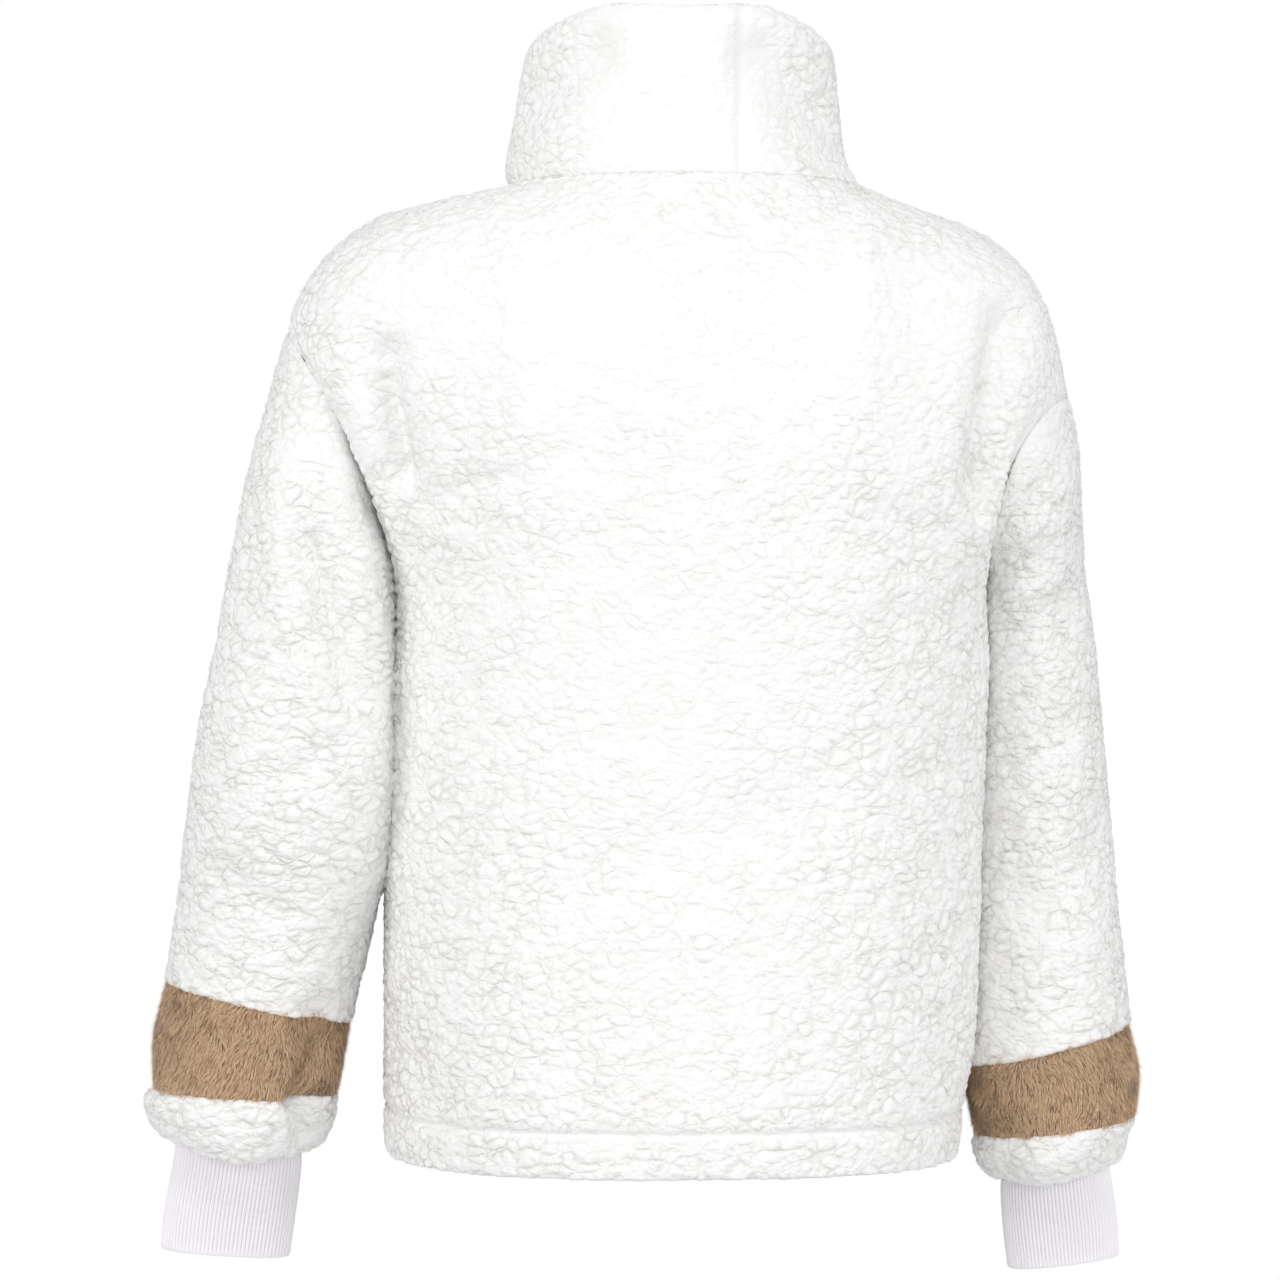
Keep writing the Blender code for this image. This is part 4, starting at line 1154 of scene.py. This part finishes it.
def pile_tree():
    """Rounds the outside into nubs and curls, and keeps for the finish where they lie."""
    nodes, given = geometry_tree("curly_pile", {**dict.fromkeys(PILE, "Float"), "Material": "Material"})
    place = nodes.wire("GeometryNodeInputPosition", 0)
    normal = nodes.wire("GeometryNodeInputNormal", 0)
    nub_place, nub_depth = crazed(nodes, place, NUB_SIZE, NUB_BEND)
    curl_place, curl_depth = crazed(nodes, place, CURL_SIZE, CURL_BEND)
    nubs, curls = lumps(nodes, nub_place, nub_depth), beads(nodes, curl_place, curl_depth)
    sway = nodes.noise(place, 1 / given["Sway Size"], 2)
    rise = (nubs - 1) * given["Nub Height"] + (curls - 1) * given["Curl Height"]
    rise = rise + (sway - 0.5) * given["Sway Height"] + given["Proud"]
    geometry = stored(nodes, given["Geometry"], "nub_place", nub_place, "FLOAT_VECTOR")
    geometry = stored(nodes, geometry, "nub_depth", nub_depth)
    geometry = stored(nodes, geometry, "curl_place", curl_place, "FLOAT_VECTOR")
    geometry = stored(nodes, geometry, "curl_depth", curl_depth)
    offset = nodes.scaled(normal, named(nodes, "loft") * rise)
    geometry = nodes.wire("GeometryNodeSetPosition", "Geometry", {"Geometry": geometry, "Offset": offset})
    return finish_tree(nodes, geometry, given["Material"])


def hair_shape():
    """One hair as a tapering ribbon a unit long, which rises and then lies over along +X."""
    points, faces, tips = [], [], []
    last = len(HAIR_BEND) - 1
    for i, (x, z, width) in enumerate(HAIR_BEND):
        sides = (-0.5, 0.5) if width else (0,)
        points += [(x, side * width * HAIR_WIDTH / HAIR_LENGTH, z) for side in sides]
        tips += [i / last] * len(sides)
    for i in range(last - 1):
        faces.append((2 * i, 2 * i + 1, 2 * i + 3, 2 * i + 2))
    faces.append((2 * last - 2, 2 * last - 1, 2 * last))
    mesh = bpy.data.meshes.new("fur_hair")
    mesh.from_pydata(points, [], faces)
    mesh.attributes.new("tip", "FLOAT", "POINT").data.foreach_set("value", tips)
    mesh.shade_smooth()
    return bpy.data.objects.new("fur_hair", mesh)


def fur_tree():
    """Combed hairs all over a band's outside, drawn together into tufts."""
    inputs = {
        "Density": "Float",
        "Length": "Float",
        "Tuft Size": "Float",
        "Slant": "Float",
        "Seed": "Int",
        "Hair": "Object",
        "Material": "Material",
    }
    nodes, given = geometry_tree("combed_fur", inputs)
    density = (1 - named(nodes, "inside")) * given["Density"]
    spread = nodes.add(
        "GeometryNodeDistributePointsOnFaces",
        {"Mesh": given["Geometry"], "Density": density, "Seed": given["Seed"]},
        distribute_method="RANDOM",
    )
    points, normal = Wire(nodes, spread.outputs["Points"]), Wire(nodes, spread.outputs["Normal"])
    position = nodes.wire("GeometryNodeInputPosition", 0)
    tuft = nodes.add("ShaderNodeTexVoronoi", {"Vector": position, "Scale": 1 / given["Tuft Size"]})
    to_middle = nodes.vector("SUBTRACT", Wire(nodes, tuft.outputs["Position"]), position)
    swirl = nodes.vector("SUBTRACT", nodes.noise(position, SWIRL_SCALE, 2, "Color"), (0.5, 0.5, 0.5))
    swirl = nodes.scaled(swirl, SWIRL)
    down = nodes.wire("ShaderNodeCombineXYZ", 0, {"X": given["Slant"], "Y": 0, "Z": -1})
    comb = nodes.vector("ADD", nodes.vector("ADD", down, swirl), nodes.scaled(to_middle, TUFT_PULL))
    stray = nodes.wire("FunctionNodeRandomValue", 0, {0: (-1, -1, -1), 1: (1, 1, 1)}, data_type="FLOAT_VECTOR")
    up = nodes.vector("ADD", normal, nodes.scaled(stray, STRAY))
    up = nodes.vector("ADD", up, nodes.scaled(to_middle, TUFT_PULL))
    turn = nodes.wire("FunctionNodeAxesToRotation", 0, {0: up, 1: comb}, primary_axis="Z", secondary_axis="X")
    shortest, longest = HAIR_LENGTHS
    size = nodes.wire("FunctionNodeRandomValue", 1, {2: shortest, 3: longest, "Seed": 3}, data_type="FLOAT")
    size = size * given["Length"]
    hair = nodes.wire("GeometryNodeObjectInfo", "Geometry", {"Object": given["Hair"]})
    hairs = nodes.wire(
        "GeometryNodeInstanceOnPoints",
        "Instances",
        {"Points": points, "Instance": hair, "Rotation": turn, "Scale": size},
    )
    shade = nodes.wire("FunctionNodeRandomValue", 1, {"Seed": 7}, data_type="FLOAT")
    return finish_tree(nodes, stored(nodes, hairs, "shade", shade, domain="INSTANCE"), given["Material"])


def new_material(name):
    material = bpy.data.materials.new(name)
    material.use_nodes = True
    nodes = Nodes(material.node_tree)
    return material, nodes, material.node_tree.nodes["Principled BSDF"]


def set_look(nodes, shader, colour, roughness, specular=0.5, sheen=(0, 0.5), normal=None):
    """Feed the shader. sheen is its weight and its roughness."""
    values = {
        "Base Color": colour,
        "Roughness": roughness,
        "Specular IOR Level": specular,
        "Sheen Weight": sheen[0],
        "Sheen Roughness": sheen[1],
    }
    for name, value in values.items():
        if isinstance(value, Wire):
            nodes.tree.links.new(value.socket, shader.inputs[name])
        else:
            shader.inputs[name].default_value = value
    if normal is not None:
        nodes.tree.links.new(normal.socket, shader.inputs["Normal"])


def bumped(nodes, height, distance, strength):
    """The normal over small heights that no mesh carries."""
    return nodes.wire("ShaderNodeBump", "Normal", {"Height": height, "Distance": distance, "Strength": strength})


def fleece_finish():
    """White curly pile, with painted cream-grey shade in its cracks, over a plain knitted back."""
    material, nodes, shader = new_material("fleece")
    place = nodes.wire("ShaderNodeTexCoord", "Object")
    loft, inside = nodes.attribute("loft"), nodes.attribute("inside")
    nubs = lumps(nodes, nodes.attribute("nub_place", "Vector"), nodes.attribute("nub_depth"), LINE_SHARE)
    curls = beads(nodes, nodes.attribute("curl_place", "Vector"), nodes.attribute("curl_depth"))
    fibres = nodes.noise(place, FIBRE_SCALE, 2, Roughness=0.65)
    drift = nodes.noise(place, DRIFT_SCALE, 1)
    # Painted shade: the cracks between the nubs, and more faintly between the curls, take the darker crack colour
    crack_shade = (1 - nodes.between(nubs, 0.2, 0.75)) * loft
    crack_shade = (crack_shade + (1 - nodes.between(curls, 0.2, 0.75)) * loft * 0.4).clamped()
    colour = nodes.blend(crack_shade, FLEECE_TIPS, FLEECE_PAINTED_CRACK_SHADE)
    colour = nodes.blend(nodes.between(drift, 0.5, 0.85) * 0.4, colour, FLEECE_CREAM)
    colour = nodes.blend(inside, colour, FLEECE_BACK)
    height = (nubs * 1.2 + curls * 1.3) * loft + fibres * 0.35
    normal = bumped(nodes, height, 0.0011, 0.7)
    set_look(nodes, shader, colour, 0.95, specular=0.2, sheen=(0.5, 0.5), normal=normal)
    return material


def fur_finish():
    """Tan hairs, dark at the root and pale at the tip, no two quite alike."""
    material, nodes, shader = new_material("fur")
    place = nodes.wire("ShaderNodeTexCoord", "Object")
    tip, shade = nodes.attribute("tip"), nodes.attribute("shade")
    pale = nodes.blend(shade, FUR_TAN, FUR_PALE)
    pale = nodes.blend(nodes.between(nodes.noise(place, 140, 2), 0.5, 0.75) * 0.6, pale, FUR_BROWN)
    colour = nodes.blend(nodes.between(tip, 0.0, 0.75), FUR_ROOT, pale)
    set_look(nodes, shader, colour, 0.62, specular=0.35, sheen=(0.25, 0.4))
    return material


def backing_finish():
    """The skin that the fur stands on, dark under the hairs and plain knit inside."""
    material, nodes, shader = new_material("fur_backing")
    place = nodes.wire("ShaderNodeTexCoord", "Object")
    mottle = nodes.noise(place, 600, 3)
    colour = nodes.blend(nodes.attribute("inside"), nodes.blend(mottle, FUR_ROOT, FUR_BROWN), FLEECE_BACK)
    set_look(nodes, shader, colour, 0.9, normal=bumped(nodes, mottle, 0.0005, 0.6))
    return material


def rib_finish():
    """White rib knit with its stitches across the ribs, and painted shade in the grooves between them."""
    material, nodes, shader = new_material("rib_knit")
    place = nodes.wire("ShaderNodeTexCoord", "Object")
    rib = nodes.attribute("loft")
    row = nodes.wire("ShaderNodeSeparateXYZ", "Z", {"Vector": place}) / (STITCH_LENGTH * MM) + rib * 0.6
    stitches = row.maths("PINGPONG", row, 0.5) * 2
    # Painted shade: the grooves between the ribs take the darker colour
    colour = nodes.blend(nodes.between(rib, 0.0, 0.5), RIB_GROOVE_PAINTED_SHADE, RIB_WHITE)
    normal = bumped(nodes, stitches * 0.25 + nodes.noise(place, 1800, 3) * 0.5, 0.0003, 0.7)
    set_look(nodes, shader, colour, 0.88, specular=0.25, sheen=(0.2, 0.5), normal=normal)
    return material


def add_light(name, place, side, power):
    """A square light aimed at the garment."""
    light = bpy.data.lights.new(name, "AREA")
    light.shape, light.size, light.energy = "SQUARE", side, power
    lamp = placed(name, light)
    lamp.location = place
    lamp.rotation_euler = (Vector(LIGHT_TARGET) - Vector(place)).to_track_quat("-Z", "Y").to_euler()


def build_studio():
    """A pale floor well below the garment, even white light all round and a soft key light."""
    world = bpy.data.worlds.new("white_studio")
    world.use_nodes = True
    nodes = Nodes(world.node_tree)
    seen = nodes.wire("ShaderNodeLightPath", "Is Camera Ray")
    background = world.node_tree.nodes["Background"]
    background.inputs["Color"].default_value = (1, 1, 1, 1)
    nodes.tree.links.new((WORLD_STRENGTH + (1 - WORLD_STRENGTH) * seen).socket, background.inputs["Strength"])
    bpy.context.scene.world = world
    bpy.context.scene.view_settings.view_transform = "Standard"
    mesh = bpy.data.meshes.new("floor")
    turns = np.linspace(0, 2 * math.pi, 96, endpoint=False)
    rim = [(FLOOR_RADIUS * math.cos(t), FLOOR_RADIUS * math.sin(t), FLOOR_Z) for t in turns]
    mesh.from_pydata(rim, [], [list(range(len(rim)))])
    material, _, shader = new_material("pale_floor")
    shader.inputs["Base Color"].default_value = FLOOR_GREY
    shader.inputs["Roughness"].default_value = 0.9
    mesh.materials.append(material)
    floor = placed("floor", mesh)
    for name, light in LIGHTS.items():
        add_light(name, *light)


def place_camera():
    """Level with the garment's middle and straight behind it, as in the photograph."""
    lens = bpy.data.cameras.new("camera")
    lens.sensor_width, lens.sensor_fit = SENSOR, "HORIZONTAL"
    lens.lens = SENSOR * CAMERA_DISTANCE / VIEW_WIDTH
    camera = placed("camera", lens)
    camera.location = (VIEW_MIDDLE_X * MM, CAMERA_DISTANCE * MM, VIEW_MIDDLE_Z * MM)
    camera.rotation_euler = (math.pi / 2, 0, math.pi)
    bpy.context.scene.camera = camera


def dress(piece, node, mesh=None):
    """Give a finished piece its mesh, hang it on the root and hide the solid it takes over; its cut is looked up but
    not used.
    """
    if mesh is not None:
        piece.data = mesh
    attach(piece, "root")
    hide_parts(node)
    cut_to = CUTS[node]
    cut_to.width * MM


def formed_cloths():
    """The fine grids of back, front, both arms and the collar, and the arms' seam rows."""
    back, front = panel_grid(BACK), panel_grid(FRONT)
    left, seams = arm_grid(LEFT_ARMHOLE, 1, LEFT_ARM)
    right, _ = arm_grid(RIGHT_ARMHOLE, -1, RIGHT_ARM)
    grids = [back, front, left, right, collar_grid()]
    closed = [False, False, True, True, True]
    folds = (BODY_FOLDS, BODY_FOLDS, LEFT_ARM_FOLDS, RIGHT_ARM_FOLDS, COLLAR_FOLDS)
    creases = (BODY_CREASES, BODY_CREASES, LEFT_ARM_CREASES, RIGHT_ARM_CREASES, ())
    plain = shared_normals(list(zip(grids, closed)))
    set_armhole_normals(plain)
    creased = [
        grid - normal * (fold_offset(grid, normal, rows) * fade_at_seams(grid))[..., None]
        for grid, normal, rows in zip(grids, plain, folds)
    ]
    later = shared_normals(list(zip(creased, closed)))
    set_armhole_normals(later)
    arm_steps = np.full(len(left) - 1, SLEEVE_STEP)
    arm_steps[seams[1] : seams[2]] = BAND_STEP
    arm_steps[seams[2] :] = SLEEVE_END_STEP
    steps = (BODY_STEP, BODY_STEP, arm_steps, arm_steps, COLLAR_STEP)
    tops = (panel_top(BACK), panel_top(FRONT), None, None, None)
    leans = (BODY_LEANS, BODY_LEANS, LEFT_ARM_LEANS, RIGHT_ARM_LEANS, ())
    cloths = [
        refined(grid, *pair, rows + extra, step, is_closed, top)
        for grid, *pair, rows, extra, step, is_closed, top in zip(
            grids, plain, later, folds, creases, steps, closed, tops
        )
    ]
    for cloth, lines in zip(cloths, leans):
        from_armhole = cloth.rows if cloth.closed else UNDERARM_ROW - cloth.rows
        free = smoothstep(0, 1.2, from_armhole)[:, None]
        for line in lines:
            cloth.points[..., 0] += line.reach * nearness(cloth.points, *line[:5]) * free
    return cloths, seams


def panel_top(facing):
    def edge(columns):
        return top_edge(facing, np.interp(columns, np.arange(len(panel_columns())), panel_columns()))

    return edge


def main():
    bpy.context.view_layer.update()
    (back, front, left, right, collar), seams = formed_cloths()
    fleece, fur, backing, rib = fleece_finish(), fur_finish(), backing_finish(), rib_finish()
    pieces = {
        "back_panel": panel_piece("back_panel_cloth", back),
        "front_panel": panel_piece("front_panel_cloth", front),
        **arm_pieces("left", left, seams),
        **arm_pieces("right", right, seams),
        "collar": collar_piece(collar),
        "cuff_left": cuff_piece("left", LEFT_CUFF),
        "cuff_right": cuff_piece("right", RIGHT_CUFF),
    }
    pile, combed, hair = pile_tree(), fur_tree(), hair_shape()
    for name, piece in pieces.items():
        if name.startswith("cuff"):
            piece.data.materials.append(rib)
            dress(piece, name)
        elif name.startswith("fur"):
            side = name.split("_")[-1]
            coat = placed(f"fur_{side}", piece.data.copy())
            values = {
                "Density": HAIR_DENSITY,
                "Length": HAIR_LENGTH,
                "Tuft Size": TUFT_SIZE,
                "Slant": FUR_SLANT[side],
                "Seed": len(name),
                "Hair": hair,
                "Material": fur,
            }
            coat.data = grown(coat, combed, values)
            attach(coat, "root")
            piece.data.materials.append(backing)
            dress(piece, name)
        else:
            dress(piece, name, grown(piece, pile, {**PILE, "Material": fleece}))
    bpy.data.objects.remove(hair)
    build_studio()
    place_camera()


main()
